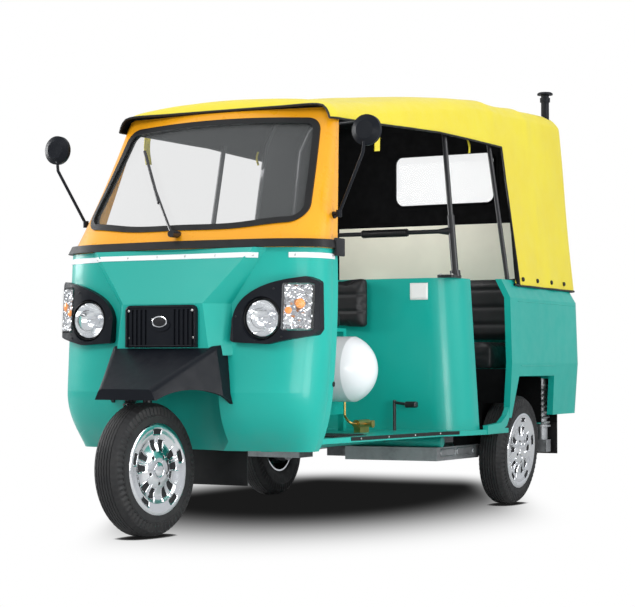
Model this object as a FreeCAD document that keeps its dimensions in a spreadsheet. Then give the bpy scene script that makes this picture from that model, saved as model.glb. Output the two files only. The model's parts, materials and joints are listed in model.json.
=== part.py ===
import FreeCAD, Part
import math
import operator
import os
import Sketcher

Vector = FreeCAD.Vector
Rotation = FreeCAD.Rotation
Placement = FreeCAD.Placement

# Driving sizes in millimetres and degrees. The vehicle faces -Y, its left side is +X and it
# stands on z = 0.
SIZES = {
    # Overall body, which the formulas below hang from
    "tub_half": 714, "tub_back_y": 1468, "cowl_half": 552, "belt_height": 1040, "floor_top": 345,
    # Running gear
    "front_axle_y": -1240, "rear_axle_y": "=tub_back_y - 703", "tyre_radius": 240, "tyre_width": 114,
    "rim_radius": 128, "rear_wheel_x": "=tub_half - 108", "rear_camber": 4, "tread_half": 30,
    "steer_rake": 21, "steer_offset": 45, "steer_park": 6,
    "fork_side": 96, "fork_tube": 17, "hub_radius": 62, "stub_radius": 14, "seat_gap": 0.3,
    # Nose shell
    "cowl_wall": 14, "crease_height": 515, "cowl_base": 300,
    "belt_front_y": -1068, "waist_front_y": -1062, "crease_front_y": -1092,
    "base_front_y": -985, "crease_half": "=cowl_half - 7", "base_half": "=cowl_half - 52",
    "cowl_back_y": -806, "base_back_y": "=cowl_back_y - 56", "arch_radius": 300,
    "arch_half": 205, "well_wall": 9, "well_top": 604,
    "nose_top_half": 340, "nose_half": 170, "nose_low_half": 200, "nose_front_y": -1138,
    "nose_mid_height": 838, "nose_low_height": 650, "nose_flare": 130,
    # Windshield
    "frame_top": "=belt_height + 552", "frame_top_y": "=belt_front_y + 356",
    "frame_top_half": "=cowl_half - 90", "frame_back_y": "=frame_top_y + 90",
    "frame_wall": 26, "window_bottom": "=belt_height + 82", "window_top": "=frame_top - 30",
    "window_corner": 62, "window_half_low": "=cowl_half - 64", "window_half_top": "=frame_top_half - 38",
    "seal_width": 22, "glass_thick": 5, "glass_depth": 8,
    # Lamps and grille
    "lamp_x": 375, "lamp_z": 783, "lamp_radius": 70, "bezel_proud": 24, "lamp_depth": 70,
    "grille_half": 152, "grille_low": 679, "grille_high": 833, "grille_thick": 14,
    "grille_slot": 9, "grille_pitch": 19,
    # Floor, partition and seats
    "floor_thick": 20, "floor_mid_half": "=tub_half - 74",
    "rail_height": 34, "rail_width": 46, "engine_half": 235, "arm_top": 271, "arm_deep": 56,
    "cross_radius": 22, "cross_half": 530,
    "bulkhead_y": "=tub_back_y - 382", "seat_front_y": "=bulkhead_y - 486",
    "tub_front_y": "=seat_front_y - 70",
    "partition_y": 110, "partition_wall": 26, "partition_top": "=floor_top + 630",
    "partition_half_low": "=tub_half - 52", "partition_half_top": "=tub_half - 92",
    "partition_back_y": "=partition_y + (tub_front_y - partition_y) * 5 / 12",
    "partition_corner": "=(partition_back_y - partition_y) * 0.8",
    "seat_back_y": "=bulkhead_y - 101", "seat_top": "=floor_top + 252",
    "seat_half": "=tub_half - 96", "seat_base_half": "=tub_half - 244", "seat_sheet": 12,
    "cushion_thick": 118, "backrest_top": "=seat_top + 433",
    "driver_seat_y": "=partition_y - 375", "driver_seat_half": 215, "driver_seat_depth": 400,
    "driver_seat_top": "=floor_top + 420", "driver_cushion_thick": 82,
    "driver_back_half": 250, "driver_back_thick": 62, "driver_back_top": "=partition_top + 10",
    "cylinder_y": "=driver_seat_y - 25", "cylinder_z": "=floor_top + 253",
    "cylinder_radius": 130, "cylinder_half": 452,
    # Rear body
    "tub_low": "=floor_top + 43",
    "tub_swage": "=tub_low + 234", "tub_shoulder": "=tub_low + 517", "tub_top": "=tub_low + 597",
    "tub_half_low": "=tub_half - 14", "tub_half_top": "=tub_half - 50",
    "tub_back_top_y": "=tub_back_y - 20", "tub_corner": 105, "tub_wall": 28,
    "arch_front_y": "=rear_axle_y - 143", "arch_back_y": "=rear_axle_y + 300",
    "arch_top": "=tub_low + 178", "arch_lean": 68,
    "quarter_split": "=tub_half - 154", "lid_half": 400, "lid_low": "=tub_low + 82",
    "lid_high": "=tub_low + 462", "lid_gap": 6, "lid_thick": 14, "hinge_x": 260, "pin_radius": 4,
    "pin_gap": 0.4, "deck_height": "=tub_low + 542", "deck_sheet": 14, "trim_sheet": 10,
    "trim_top": "=deck_height + 370",
    # Canopy
    "hood_front_y": "=frame_top_y - 4", "shell_lap": 0.4, "hood_skin": 7,
    "hood_low": "=tub_top - 23", "hood_front_top": "=frame_top + 58",
    "hood_pole_top": "=frame_top + 170", "hood_bow_top": "=frame_top + 219",
    "hood_last_top": "=frame_top + 230", "hood_back_top": "=frame_top + 242",
    "hood_front_half": "=frame_top_half + 35", "hood_pole_half": "=tub_half - 156",
    "hood_bow_half": "=tub_half - 130", "hood_last_half": "=tub_half - 112",
    "hood_back_half": "=tub_half - 96", "hood_turn": 62, "hood_nose": 80, "frame_corner": 56,
    "bow_front_y": "=tub_front_y + 110", "bow_back_y": "=bulkhead_y - 76",
    "hood_edge_front": "=frame_top - 52", "hood_edge_back": "=frame_top - 16",
    "hood_door_top_y": "=tub_front_y + 170", "hood_door_low_y": "=tub_front_y + 74",
    "bow_radius": 10, "window_rear_half": 272, "window_rear_low": "=hood_back_top - 434",
    "window_rear_high": "=hood_back_top - 174", "film_thick": 3,
    # Springs
    "shock_x": "=rear_wheel_x + 14", "shock_y": "=rear_axle_y + 385", "shock_length": 280,
    "shock_radius": 24, "spring_radius": 38, "spring_turns": 7,
}


class Size:
    """A length or angle that knows its number and the sheet expression that gives it."""

    def __init__(self, value, text):
        self.value = value
        self.text = text

    def __float__(self):
        return float(self.value)

    def __add__(self, other):
        return joined(self, "+", other)

    def __radd__(self, other):
        return joined(other, "+", self)

    def __sub__(self, other):
        return joined(self, "-", other)

    def __rsub__(self, other):
        return joined(other, "-", self)

    def __mul__(self, other):
        return joined(self, "*", other)

    def __rmul__(self, other):
        return joined(other, "*", self)

    def __truediv__(self, other):
        return joined(self, "/", other)

    def __neg__(self):
        return joined(0, "-", self)


OPERATIONS = {"+": operator.add, "-": operator.sub, "*": operator.mul, "/": operator.truediv}


def as_size(value):
    if isinstance(value, Size):
        return value
    return Size(float(value), repr(float(value)))


def joined(first, sign, second):
    first = as_size(first)
    second = as_size(second)
    value = OPERATIONS[sign](first.value, second.value)
    return Size(value, "(%s %s %s)" % (first.text, sign, second.text))


def cosine(angle):
    return Size(math.cos(math.radians(angle.value)), "cos(%s * 1 deg)" % angle.text)


def sine(angle):
    return Size(math.sin(math.radians(angle.value)), "sin(%s * 1 deg)" % angle.text)


def root(size):
    return Size(math.sqrt(size.value), "sqrt(%s)" % size.text)


class Sizes:
    """Every named size of the sheet, as an attribute."""

    def __init__(self, sheet, names):
        for name in names:
            setattr(self, name, Size(float(sheet.get(name)), "Sizes." + name))


def make_sheet(doc):
    sheet = doc.addObject("Spreadsheet::Sheet", "Sizes")
    for row, (name, value) in enumerate(SIZES.items(), start=1):
        sheet.set("A%d" % row, name)
        sheet.set("B%d" % row, str(value))
        sheet.setAlias("B%d" % row, name)
    doc.recompute()
    return sheet


doc = FreeCAD.newDocument("auto_rickshaw")
sheet = make_sheet(doc)
s = Sizes(sheet, SIZES)
nodes = {}


# Helpers that bind sizes to the sheet
def bind(obj, prop, value):
    if isinstance(value, Size):
        obj.setExpression(prop, value.text)
        return
    if "." in prop:
        obj.setExpression(prop, repr(float(value)))
    else:
        setattr(obj, prop, value)


def move(obj, at):
    for axis, value in zip("xyz", at):
        bind(obj, "Placement.Base." + axis, value)
    return obj


def keep(name, obj):
    obj.Label = name
    nodes[name] = obj
    return obj


def box(name, xs, ys, zs):
    obj = doc.addObject("Part::Box", name)
    for prop, span in zip(("Length", "Width", "Height"), (xs, ys, zs)):
        bind(obj, prop, as_size(span[1]) - span[0])
    return move(obj, (xs[0], ys[0], zs[0]))


TURNS = {
    "x": Rotation(Vector(0, 1, 0), 90),
    "y": Rotation(Vector(1, 0, 0), -90),
    "z": Rotation(),
}


def cylinder(name, axis, radius, length, at):
    """A round bar that starts at a point and runs along +axis."""
    obj = doc.addObject("Part::Cylinder", name)
    obj.Placement = Placement(Vector(), TURNS[axis])
    bind(obj, "Radius", radius)
    bind(obj, "Height", length)
    return move(obj, at)


def fuse(name, parts):
    obj = doc.addObject("Part::MultiFuse", name)
    obj.Shapes = parts
    obj.Refine = True
    return obj


def cut(name, base, tool):
    obj = doc.addObject("Part::Cut", name)
    obj.Base = base
    obj.Tool = tool
    return obj


def common(name, base, tool):
    obj = doc.addObject("Part::Common", name)
    obj.Base = base
    obj.Tool = tool
    return obj


def mirrored(name, source):
    obj = doc.addObject("Part::Mirroring", name)
    obj.Source = source
    obj.Normal = Vector(1, 0, 0)
    return obj


def pair(name, source):
    """The left piece and its mirror image, as two solids of one piece."""
    obj = doc.addObject("Part::Compound", name)
    obj.Links = [source, mirrored(name + "_right", source)]
    return obj


def form(name, shape):
    obj = doc.addObject("Part::Feature", name)
    obj.Shape = shape
    obj.Placement = Placement()
    return obj


def span_box(xs, ys, zs):
    return Part.makeBox(xs[1] - xs[0], ys[1] - ys[0], zs[1] - zs[0], Vector(xs[0], ys[0], zs[0]))


# Sketches
def arc_between(first, last, radius):
    """The arc from first to last, with its centre on the left where radius is positive."""
    chord = last - first
    half = chord.Length / 2
    size = max(abs(radius), half)
    rise = math.sqrt(size * size - half * half)
    left = Vector(-chord.y, chord.x, 0).normalize()
    centre = (first + last) / 2 + left * (rise if radius > 0 else -rise)
    circle = Part.Circle(centre, Vector(0, 0, 1), size)
    start = first if radius > 0 else last
    end = last if radius > 0 else first
    angles = [math.atan2(p.y - centre.y, p.x - centre.x) for p in (start, end)]
    if angles[1] < angles[0]:
        angles[1] += 2 * math.pi
    return Part.ArcOfCircle(circle, angles[0], angles[1])


def draw(body, role, path):
    """A closed sketch through corners (a, b) or (a, b, radius of the arc to the next one)."""
    sketch = body.newObject("Sketcher::SketchObject", body.Name + "_sketch")
    plane = [o for o in body.Origin.OriginFeatures if o.Role == role][0]
    sketch.AttachmentSupport = [(plane, "")]
    sketch.MapMode = "FlatFace"
    corners = [Vector(float(p[0]), float(p[1]), 0) for p in path]
    ends = []
    for index, corner in enumerate(corners):
        following = corners[(index + 1) % len(corners)]
        radius = float(path[index][2]) if len(path[index]) > 2 else 0.0
        if radius:
            edge = sketch.addGeometry(arc_between(corner, following, radius), False)
            ends.append((edge, 1, 2) if radius > 0 else (edge, 2, 1))
            rule = sketch.addConstraint(Sketcher.Constraint("Radius", edge, abs(radius)))
            sketch.setExpression("Constraints[%d]" % rule, "abs(%s)" % as_size(path[index][2]).text)
        else:
            edge = sketch.addGeometry(Part.LineSegment(corner, following), False)
            ends.append((edge, 1, 2))
    for index, (edge, first, last) in enumerate(ends):
        after, after_first, _ = ends[(index + 1) % len(ends)]
        sketch.addConstraint(Sketcher.Constraint("Coincident", edge, last, after, after_first))
        for kind, value in zip(("DistanceX", "DistanceY"), path[index]):
            rule = Sketcher.Constraint(kind, -1, 1, edge, first, float(value))
            rule = sketch.addConstraint(rule)
            sketch.setExpression("Constraints[%d]" % rule, as_size(value).text)
    return sketch


def padded(name, role, path, length, midplane=True, reverse=False):
    body = doc.addObject("PartDesign::Body", name)
    pad = body.newObject("PartDesign::Pad", name + "_pad")
    pad.Profile = draw(body, role, path)
    pad.Midplane = midplane
    pad.Reversed = reverse
    bind(pad, "Length", length)
    return body


def turned(name, role, path, axis="H_Axis"):
    body = doc.addObject("PartDesign::Body", name)
    sketch = draw(body, role, path)
    turn = body.newObject("PartDesign::Revolution", name + "_turn")
    turn.Profile = sketch
    turn.ReferenceAxis = (sketch, [axis])
    turn.Angle = 360
    return body


# Curved forms made from sections
def plan_wire(height, half, front, back, side, bow, corner):
    """A horizontal section: a bowed front, round corners and straight sides, open corners at the back.

    half is the half width, front and back its y, side the y where the corner ends, bow how far
    the front falls back at the corner and corner where it starts across the width."""
    points = [
        (-half, back), (-half, side), (-half + corner * 0.28, side - (side - front - bow) * 0.70),
        (-half + corner, front + bow), (-half * 0.42, front + bow * 0.28), (0, front),
        (half * 0.42, front + bow * 0.28), (half - corner, front + bow),
        (half - corner * 0.28, side - (side - front - bow) * 0.70), (half, side), (half, back),
    ]
    curve = Part.BSplineCurve()
    curve.interpolate([Vector(x, y, height) for x, y in points[1:-1]])
    edges = [
        Part.makeLine(Vector(*points[0], height), Vector(*points[1], height)),
        curve.toShape(),
        Part.makeLine(Vector(*points[-2], height), Vector(*points[-1], height)),
        Part.makeLine(Vector(*points[-1], height), Vector(*points[0], height)),
    ]
    return Part.Wire(edges)


def cowl_levels(inset, behind):
    """The nose shell's sections from its base to the belt, moved in by inset."""
    def level(height, half, front, back, bow, corner):
        half = float(half) - inset
        front = float(front) + inset
        return plan_wire(float(height), half, front, float(back) + behind,
                         float(back) - 40, bow, corner)
    mid = (s.crease_height + s.belt_height) / 2
    upper = [
        level(s.crease_height, s.crease_half, s.crease_front_y, s.cowl_back_y - 30, 42, 100),
        level(mid, s.cowl_half, s.waist_front_y, s.cowl_back_y - 8, 40, 96),
        level(s.belt_height, s.cowl_half - 4, s.belt_front_y, s.cowl_back_y, 60, 96),
    ]
    belly = (s.crease_height + s.cowl_base) / 2
    lower = [
        level(s.cowl_base, s.base_half, s.base_front_y, s.base_back_y, 40, 110),
        level(belly, s.crease_half - 12, s.crease_front_y + 26, s.base_back_y + 14, 42, 110),
        level(s.crease_height, s.crease_half, s.crease_front_y, s.cowl_back_y - 30, 42, 100),
    ]
    return lower, upper


def nose_levels(inset):
    def level(height, half, back_half, front, back):
        front = float(front) + inset
        half = float(half) - inset
        back_half = float(back_half) - inset
        corners = [(-back_half, back), (-half, front), (half, front), (back_half, back)]
        return Part.makePolygon([Vector(x, y, float(height)) for x, y in corners + corners[:1]])
    back = float(s.waist_front_y) + 90
    return [
        level(s.nose_low_height, s.nose_low_half, s.nose_low_half + s.nose_flare - 20,
              s.nose_front_y, back),
        level(s.nose_mid_height, s.nose_half, s.nose_half + s.nose_flare, s.nose_front_y, back),
        level(s.belt_height, s.nose_top_half, s.nose_top_half + s.nose_flare - 20,
              s.belt_front_y + 2, back),
    ]


def cowl_solid(inset, behind):
    lower, upper = cowl_levels(inset, behind)
    solid = Part.makeLoft(upper, True, False)
    solid = solid.fuse(Part.makeLoft(lower, True, False))
    return solid.fuse(Part.makeLoft(nose_levels(inset), True, True))


def well_block(grow):
    """The free space round the front wheel, or with grow the well's outer surface."""
    base = float(s.cowl_base) - 60
    high = float(s.well_top) + grow
    centre_y = float(s.front_axle_y) + 10
    radius = float(s.arch_radius) + grow
    half = float(s.arch_half) + grow
    round_block = Part.makeCylinder(radius, high - base, Vector(0, centre_y, base))
    return round_block.common(span_box((-half, half), (centre_y - 10, centre_y + radius), (base, high)))


def front_cowl():
    shell = cowl_solid(0, 0).cut(cowl_solid(float(s.cowl_wall), 120))
    liner = well_block(float(s.well_wall)).cut(well_block(0)).common(cowl_solid(0, 0))
    point, axis = steering_axis()
    low = point + axis * ((float(s.well_top) - 20 - point.z) / axis.z)
    head = Part.makeCylinder(float(s.fork_tube) + 14, 190, low, axis)
    bore = Part.makeCylinder(float(s.fork_tube) + 0.6, 900, point, axis)
    shell = shell.fuse(liner).cut(well_block(0)).fuse(head).cut(bore)
    for side in (-1, 1):
        hole = Part.makeCylinder(float(s.lamp_radius + s.seat_gap), 260,
                                 Vector(side * float(s.lamp_x), float(s.nose_front_y),
                                        float(s.lamp_z)), Vector(0, 1, 0))
        shell = shell.cut(hole)
    keep("front_cowl", form("front_cowl", shell))


def frame_solid(inset, behind):
    low = plan_wire(float(s.belt_height) + 0.3, float(s.cowl_half) - 4 - inset,
                    float(s.belt_front_y) + inset, float(s.cowl_back_y) + behind,
                    float(s.cowl_back_y) - 40, 60, 96)
    high = plan_wire(float(s.frame_top), float(s.frame_top_half) - inset,
                     float(s.frame_top_y) + inset, float(s.frame_back_y) + behind,
                     float(s.frame_back_y) - 22, 40, 60)
    return Part.makeLoft([low, high], True, False)


def window_prism(inset):
    """The windshield opening seen from the front, as a block along Y with round corners."""
    low = float(s.window_bottom) + inset
    high = float(s.window_top) - inset
    low_half = float(s.window_half_low) - inset
    top_half = float(s.window_half_top) - inset
    ahead = float(s.belt_front_y) - 200
    behind = float(s.frame_back_y) + 100
    crown = 14
    wave = [(-1, 14), (-0.82, 11), (-0.5, -5), (0, -8), (0.5, -5), (0.82, 11), (1, 14)]
    sill = [Vector(share * low_half, ahead, low + rise) for share, rise in wave]
    corners = [sill[0], sill[-1], Vector(top_half, ahead, high - crown),
               Vector(-top_half, ahead, high - crown)]
    curve = Part.BSplineCurve()
    curve.interpolate(sill)
    bottom = curve.toShape()
    top = Part.Arc(corners[2], Vector(0, ahead, high), corners[3]).toShape()
    sides = [Part.makeLine(corners[1], corners[2]), Part.makeLine(corners[3], corners[0])]
    solid = Part.Face(Part.Wire([bottom, sides[0], top, sides[1]])).extrude(
        Vector(0, behind - ahead, 0))
    edges = [e for e in solid.Edges if e.BoundBox.YLength > (behind - ahead) / 2]
    return solid.makeFillet(float(s.window_corner) - inset, edges)


def frame_outline(grow=0):
    """The frame seen from the front, with its round top corners."""
    low_half = float(s.cowl_half) + 10 + grow
    top_half = float(s.frame_top_half) + 2 + grow
    top = float(s.frame_top) + grow
    corners = [(-low_half, float(s.belt_height)), (low_half, float(s.belt_height)),
               (top_half, top), (-top_half, top)]
    ahead = float(s.belt_front_y) - 200
    points = [Vector(x, ahead, z) for x, z in corners]
    solid = Part.Face(Part.makePolygon(points + points[:1])).extrude(Vector(0, 1000, 0))
    upper = [e for e in solid.Edges if e.BoundBox.YLength > 700 and e.BoundBox.ZMin > top - 1]
    return solid.makeFillet(float(s.frame_corner) + grow, upper)


def windshield():
    wall = float(s.frame_wall)
    gap = float(s.seat_gap)
    frame = frame_solid(0, 0).cut(frame_solid(wall, 160)).cut(window_prism(0))
    frame = frame.common(frame_outline())
    keep("windshield_frame", form("windshield_frame", frame))
    depth = float(s.glass_depth)
    pane = frame_solid(depth, 0).cut(frame_solid(depth + float(s.glass_thick), 160))
    pane = pane.common(window_prism(10))
    keep("windshield_glass", form("windshield_glass", pane))
    ring = window_prism(gap).cut(window_prism(float(s.seal_width)))
    seal = frame_solid(-5, 0).cut(frame_solid(depth + 14, 160)).common(ring).cut(pane)
    keep("windshield_seal", form("windshield_seal", seal))


def belt_moulding():
    gap = float(s.seat_gap)
    band = frame_solid(-16, 0).cut(frame_solid(-gap, 120))
    low = float(s.belt_height) + 2
    ahead = float(s.belt_front_y) - 60
    half = float(s.cowl_half) + 40
    slab = span_box((-half, half), (ahead, float(s.cowl_back_y) + 40), (low, low + 30))
    keep("belt_moulding", form("belt_moulding", band.common(slab)))


def grille_panel():
    front = float(s.nose_front_y - s.grille_thick)
    back = float(s.nose_front_y - s.seat_gap)
    half = float(s.grille_half)
    low = float(s.grille_low)
    high = float(s.grille_high)
    plate = span_box((-half, half), (front, back), (low, high))
    upper = [e for e in plate.Edges if e.BoundBox.YLength > 5 and e.BoundBox.ZMin > high - 1]
    plate = plate.makeFillet(22, upper)
    width = float(s.grille_slot)
    for index in range(5):
        x = 62 + index * float(s.grille_pitch)
        for side in (-1, 1):
            slot = span_box((side * x - width / 2, side * x + width / 2), (front - 1, front + 6),
                            (low - 1, high - 16 - (8 if index == 4 else 0)))
            plate = plate.cut(slot)
    oval = Part.Ellipse(Vector(0, 0, 0), 42, 23)
    boss = Part.Face(Part.Wire(oval.toShape())).extrude(Vector(0, 0, 5))
    boss.Placement = Placement(Vector(0, front + 1, (low + high) / 2 + 4), TURNS["y"].inverted())
    keep("grille_panel", form("grille_panel", plate.fuse(boss)))


def front_fender():
    def level(y, top_half, top, low_half, low, inset):
        top_half -= inset
        low_half -= inset
        top -= inset
        corners = [(-low_half, low), (-top_half, top), (top_half, top), (low_half, low)]
        return Part.makePolygon([Vector(x, y, z) for x, z in corners + corners[:1]])

    def beak(inset, ahead, below, ridge):
        back_y = float(s.nose_front_y) + 150
        mid_y = float(s.nose_front_y) + 10
        tip_y = float(s.front_axle_y) - 145 + ahead
        block = Part.makeLoft([
            level(back_y, 228, 705, 268, 470 - below, inset),
            level(mid_y, 222, 682, 258, 472 - below, inset),
            level(tip_y, 108, 530, 126, 492 - below, inset),
        ], True, True)
        ridges = [e for e in block.Edges if e.BoundBox.YLength > 200 and e.BoundBox.ZMin > 500]
        return block.makeFillet(ridge, ridges)
    shell = beak(0, 0, 0, 26).cut(beak(6, 12, 60, 20))
    shell = shell.cut(cowl_solid(-float(s.seat_gap), 0))
    clear = Part.makeCylinder(float(s.tyre_radius) + 47, 800,
                              Vector(-400, float(s.front_axle_y), float(s.tyre_radius)), Vector(1, 0, 0))
    keep("front_fender", form("front_fender", shell.cut(clear)))


def bezel_prism():
    """The lamp surround seen from the front, as a block along Y with round corners."""
    x = float(s.lamp_x)
    z = float(s.lamp_z)
    ahead = float(s.nose_front_y) - 160
    brow = [(x - 117, z - 20), (x - 110, z + 28), (x - 80, z + 70), (x - 34, z + 101),
            (x + 50, z + 132), (x + 150, z + 151)]
    rest = [(x + 150, z + 151), (x + 184, z + 132), (x + 187, z - 40), (x + 170, z - 61),
            (x + 25, z - 93), (x - 117, z - 86), (x - 117, z - 20)]
    curve = Part.BSplineCurve()
    curve.interpolate([Vector(a, ahead, b) for a, b in brow])
    edges = [curve.toShape()]
    for first, last in zip(rest, rest[1:]):
        edges.append(Part.makeLine(Vector(first[0], ahead, first[1]), Vector(last[0], ahead, last[1])))
    block = Part.Face(Part.Wire(edges)).extrude(Vector(0, 360, 0))
    corners = [e for e in block.Edges
               if e.BoundBox.YLength > 300 and abs(e.BoundBox.ZMin - z + 20) > 5]
    return block.makeFillet(12, corners)


def indicator_prism(inset):
    x = float(s.lamp_x)
    z = float(s.lamp_z)
    ahead = float(s.nose_front_y) - 160
    block = span_box((x + 77 + inset, x + 172), (ahead, ahead + 360),
                     (z - 45 + inset, z + 128 - inset))
    return block.makeFillet(10, [e for e in block.Edges if e.BoundBox.YLength > 300])


def lamps():
    proud = float(s.bezel_proud)
    gap = float(s.seat_gap)
    ahead = Vector(float(s.lamp_x), float(s.nose_front_y) - 160, float(s.lamp_z))
    forward = Vector(0, 1, 0)
    lens_y = float(s.waist_front_y) - 4
    radius = float(s.lamp_radius)
    plate = cowl_solid(-proud, 0).cut(cowl_solid(-gap, 0)).common(bezel_prism())
    bore = Part.makeCylinder(float(s.lamp_radius) + gap, 300, ahead, forward)
    face = Vector(float(s.lamp_x), lens_y - 9, float(s.lamp_z))
    dish = Part.makeCone(radius + 12, radius + gap, 25, face, forward)
    dish = dish.fuse(Part.makeCylinder(radius + 12, 90, face, Vector(0, -1, 0)))
    plate = plate.cut(bore).cut(dish).cut(indicator_prism(0))
    keep("headlamp_bezels", pair("headlamp_bezels", form("bezel_left", plate)))
    marker = cowl_solid(-proud - 6, 0).cut(cowl_solid(-2 * gap, 0)).common(indicator_prism(1.5))
    marker = marker.cut(bore).cut(dish)
    keep("indicator_lamps", pair("indicator_lamps", form("indicator_left", marker)))
    depth = s.lamp_depth
    radius = s.lamp_radius
    bowl_radius = 90
    rim = radius - 8
    rise = bowl_radius - root(bowl_radius * bowl_radius - rim * rim)
    bowl = turned("lamp_left", "XY_Plane", [
        (0, 5), (radius - 9, 0), (radius - 5, -4), (radius, -4), (radius, 46),
        (rim, depth - rise, bowl_radius), (0, depth),
    ], "V_Axis")
    move(bowl, (s.lamp_x, s.waist_front_y - 4, s.lamp_z))
    keep("headlamps", pair("headlamps", bowl))


def tube(name, points, radius, bend):
    """A round bar along straight runs joined by tangent arcs."""
    points = [Vector(*[float(c) for c in p]) for p in points]
    edges = []
    start = points[0]
    for index in range(1, len(points) - 1):
        corner = points[index]
        back = (points[index - 1] - corner).normalize()
        ahead = (points[index + 1] - corner).normalize()
        half = back.getAngle(ahead) / 2
        reach = bend / math.tan(half)
        enter = corner + back * reach
        leave = corner + ahead * reach
        middle = (back + ahead).normalize()
        centre = corner + middle * (bend / math.sin(half))
        apex = centre - middle * bend
        edges.append(Part.makeLine(start, enter))
        edges.append(Part.Arc(enter, apex, leave).toShape())
        start = leave
    edges.append(Part.makeLine(start, points[-1]))
    path = Part.Wire(edges)
    heading = points[1] - points[0]
    ring = Part.Wire(Part.makeCircle(radius, points[0], heading))
    return path.makePipeShell([ring], True, True)


def mirrors():
    foot_z = float(s.belt_height) + 136
    share = (foot_z - float(s.belt_height)) / (float(s.frame_top) - float(s.belt_height))
    pillar = float(s.cowl_half) - 4 + (float(s.frame_top_half) - float(s.cowl_half) + 4) * share
    y = float(s.cowl_back_y)
    x = pillar
    arm = tube("mirror_arm", [(x - 6, y + 6, foot_z - 8), (x + 34, y - 12, foot_z - 4),
                              (x + 147, y - 44, foot_z + 210), (x + 155, y - 42, foot_z + 280)],
               6, 18)
    pad = Part.makeCylinder(13, 16, Vector(x - 6, y + 6, foot_z - 8), Vector(1, 0, 0))
    joint = Part.makeCylinder(11, 26, Vector(x + 34, y - 12, foot_z - 18), Vector(0, 0, 1))
    centre = Vector(x + 157, y - 40, foot_z + 293)
    rim = Part.makeCylinder(57, 16, centre, Vector(0, 1, 0))
    back = Part.makeCone(57, 34, 14, centre, Vector(0, -1, 0))
    mirror = arm.fuse(pad).fuse(joint).fuse(rim).fuse(back)
    mirror = mirror.cut(frame_solid(-float(s.seat_gap), 0))
    keep("mirrors", pair("mirrors", form("mirror_left", mirror)))


def wiper():
    z = float(s.belt_height) + 58
    lean = (float(s.frame_top_y) - float(s.belt_front_y)) / (float(s.frame_top) - float(s.belt_height))
    skin = float(s.belt_front_y) + lean * 58

    def off_glass(x, height, distance):
        return Vector(x, skin + lean * (height - z) - distance, height)
    pivot = Part.makeCylinder(13, 60, Vector(0, skin - 52.5, z), Vector(0, 1, 0))
    arm = tube("wiper_arm", [off_glass(0, z, 45), off_glass(-66, z + 80, 44),
                             off_glass(-160, z + 187, 31)], 5, 12)
    blade = tube("wiper_blade", [off_glass(-112, z + 125, 38), off_glass(-285, z + 347, 12)], 6, 10)
    pivot = pivot.cut(frame_solid(-float(s.seat_gap), 0))
    keep("wiper", form("wiper", pivot.fuse(arm).fuse(blade)))


def dashboard():
    wall = float(s.cowl_wall) + float(s.seat_gap)
    front = float(s.waist_front_y)
    high = float(s.belt_height) - 11
    half = float(s.cowl_half)
    slab = span_box((-half, half), (front, front + 87), (high - 44, high))
    shelf = cowl_solid(wall, 120).common(slab)
    pod = span_box((-150, 150), (front + 51, front + 87), (high, high + 46))
    pod = pod.makeFillet(14, [e for e in pod.Edges if e.BoundBox.YLength > 30
                              and e.BoundBox.ZMin > high + 40])
    keep("dashboard", form("dashboard", shelf.fuse(pod)))


def floor():
    base = s.floor_top - s.floor_thick
    belly = (s.crease_height + s.cowl_base) / 2
    front = s.base_back_y + 14 * (s.floor_top - s.cowl_base) / (belly - s.cowl_base) + s.seat_gap
    edge = s.tub_front_y - s.seat_gap
    plan = [
        (-s.base_half - 8, front), (s.base_half + 8, front),
        (s.floor_mid_half - 30, 0), (s.partition_half_low, s.partition_y),
        (s.tub_half_low - 4, s.partition_back_y), (s.tub_half_low - 4, edge),
        (s.seat_base_half, edge), (s.seat_base_half, s.seat_front_y - s.seat_gap),
        (-s.seat_base_half, s.seat_front_y - s.seat_gap), (-s.seat_base_half, edge),
        (-s.tub_half_low + 4, edge), (-s.tub_half_low + 4, s.partition_back_y),
        (-s.partition_half_low, s.partition_y), (-s.floor_mid_half + 30, 0),
    ]
    plate = padded("floor_plate", "XY_Plane", plan, s.floor_thick, False)
    move(plate, (0, 0, base))
    rails = []
    rail_x = s.engine_half + s.seat_gap + s.rail_width / 2
    for side in (-1, 1):
        rail = box("floor_rail", (side * rail_x - s.rail_width / 2, side * rail_x + s.rail_width / 2),
                   (s.base_back_y + 40, s.bulkhead_y - s.seat_gap), (base - s.rail_height, base))
        rails.append(rail)
    cross_z = s.arm_top + s.seat_gap + s.cross_radius
    cross = cylinder("floor_cross", "x", s.cross_radius, 2 * s.cross_half,
                     (-s.cross_half, s.partition_y + 90, cross_z))
    for side in (-1, 1):
        hanger = box("cross_hanger", (side * 400 - 15, side * 400 + 15),
                     (s.partition_y + 75, s.partition_y + 105), (cross_z, base))
        rails.append(hanger)
    sill_low = float(base)
    back = float(s.tub_front_y - s.seat_gap)
    start = float(s.partition_back_y)
    edge_z = float(s.tub_low)
    sill = [(start, sill_low), (back - 90, sill_low + 6), (back - 26, sill_low + 32),
            (back, edge_z), (back, edge_z + 46), (back - 34, edge_z + 10),
            (back - 96, edge_z - 18), (start, edge_z - 26)]
    outer = float(s.tub_half_low)
    for side in (-1, 1):
        points = [Vector(side * outer, y, z) for y, z in sill]
        lip = Part.Face(Part.makePolygon(points + points[:1])).extrude(Vector(-side * 22, 0, 0))
        rails.append(form("door_sill", lip))
    keep("floor_pan", fuse("floor_pan", [plate, cross] + rails))


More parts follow.
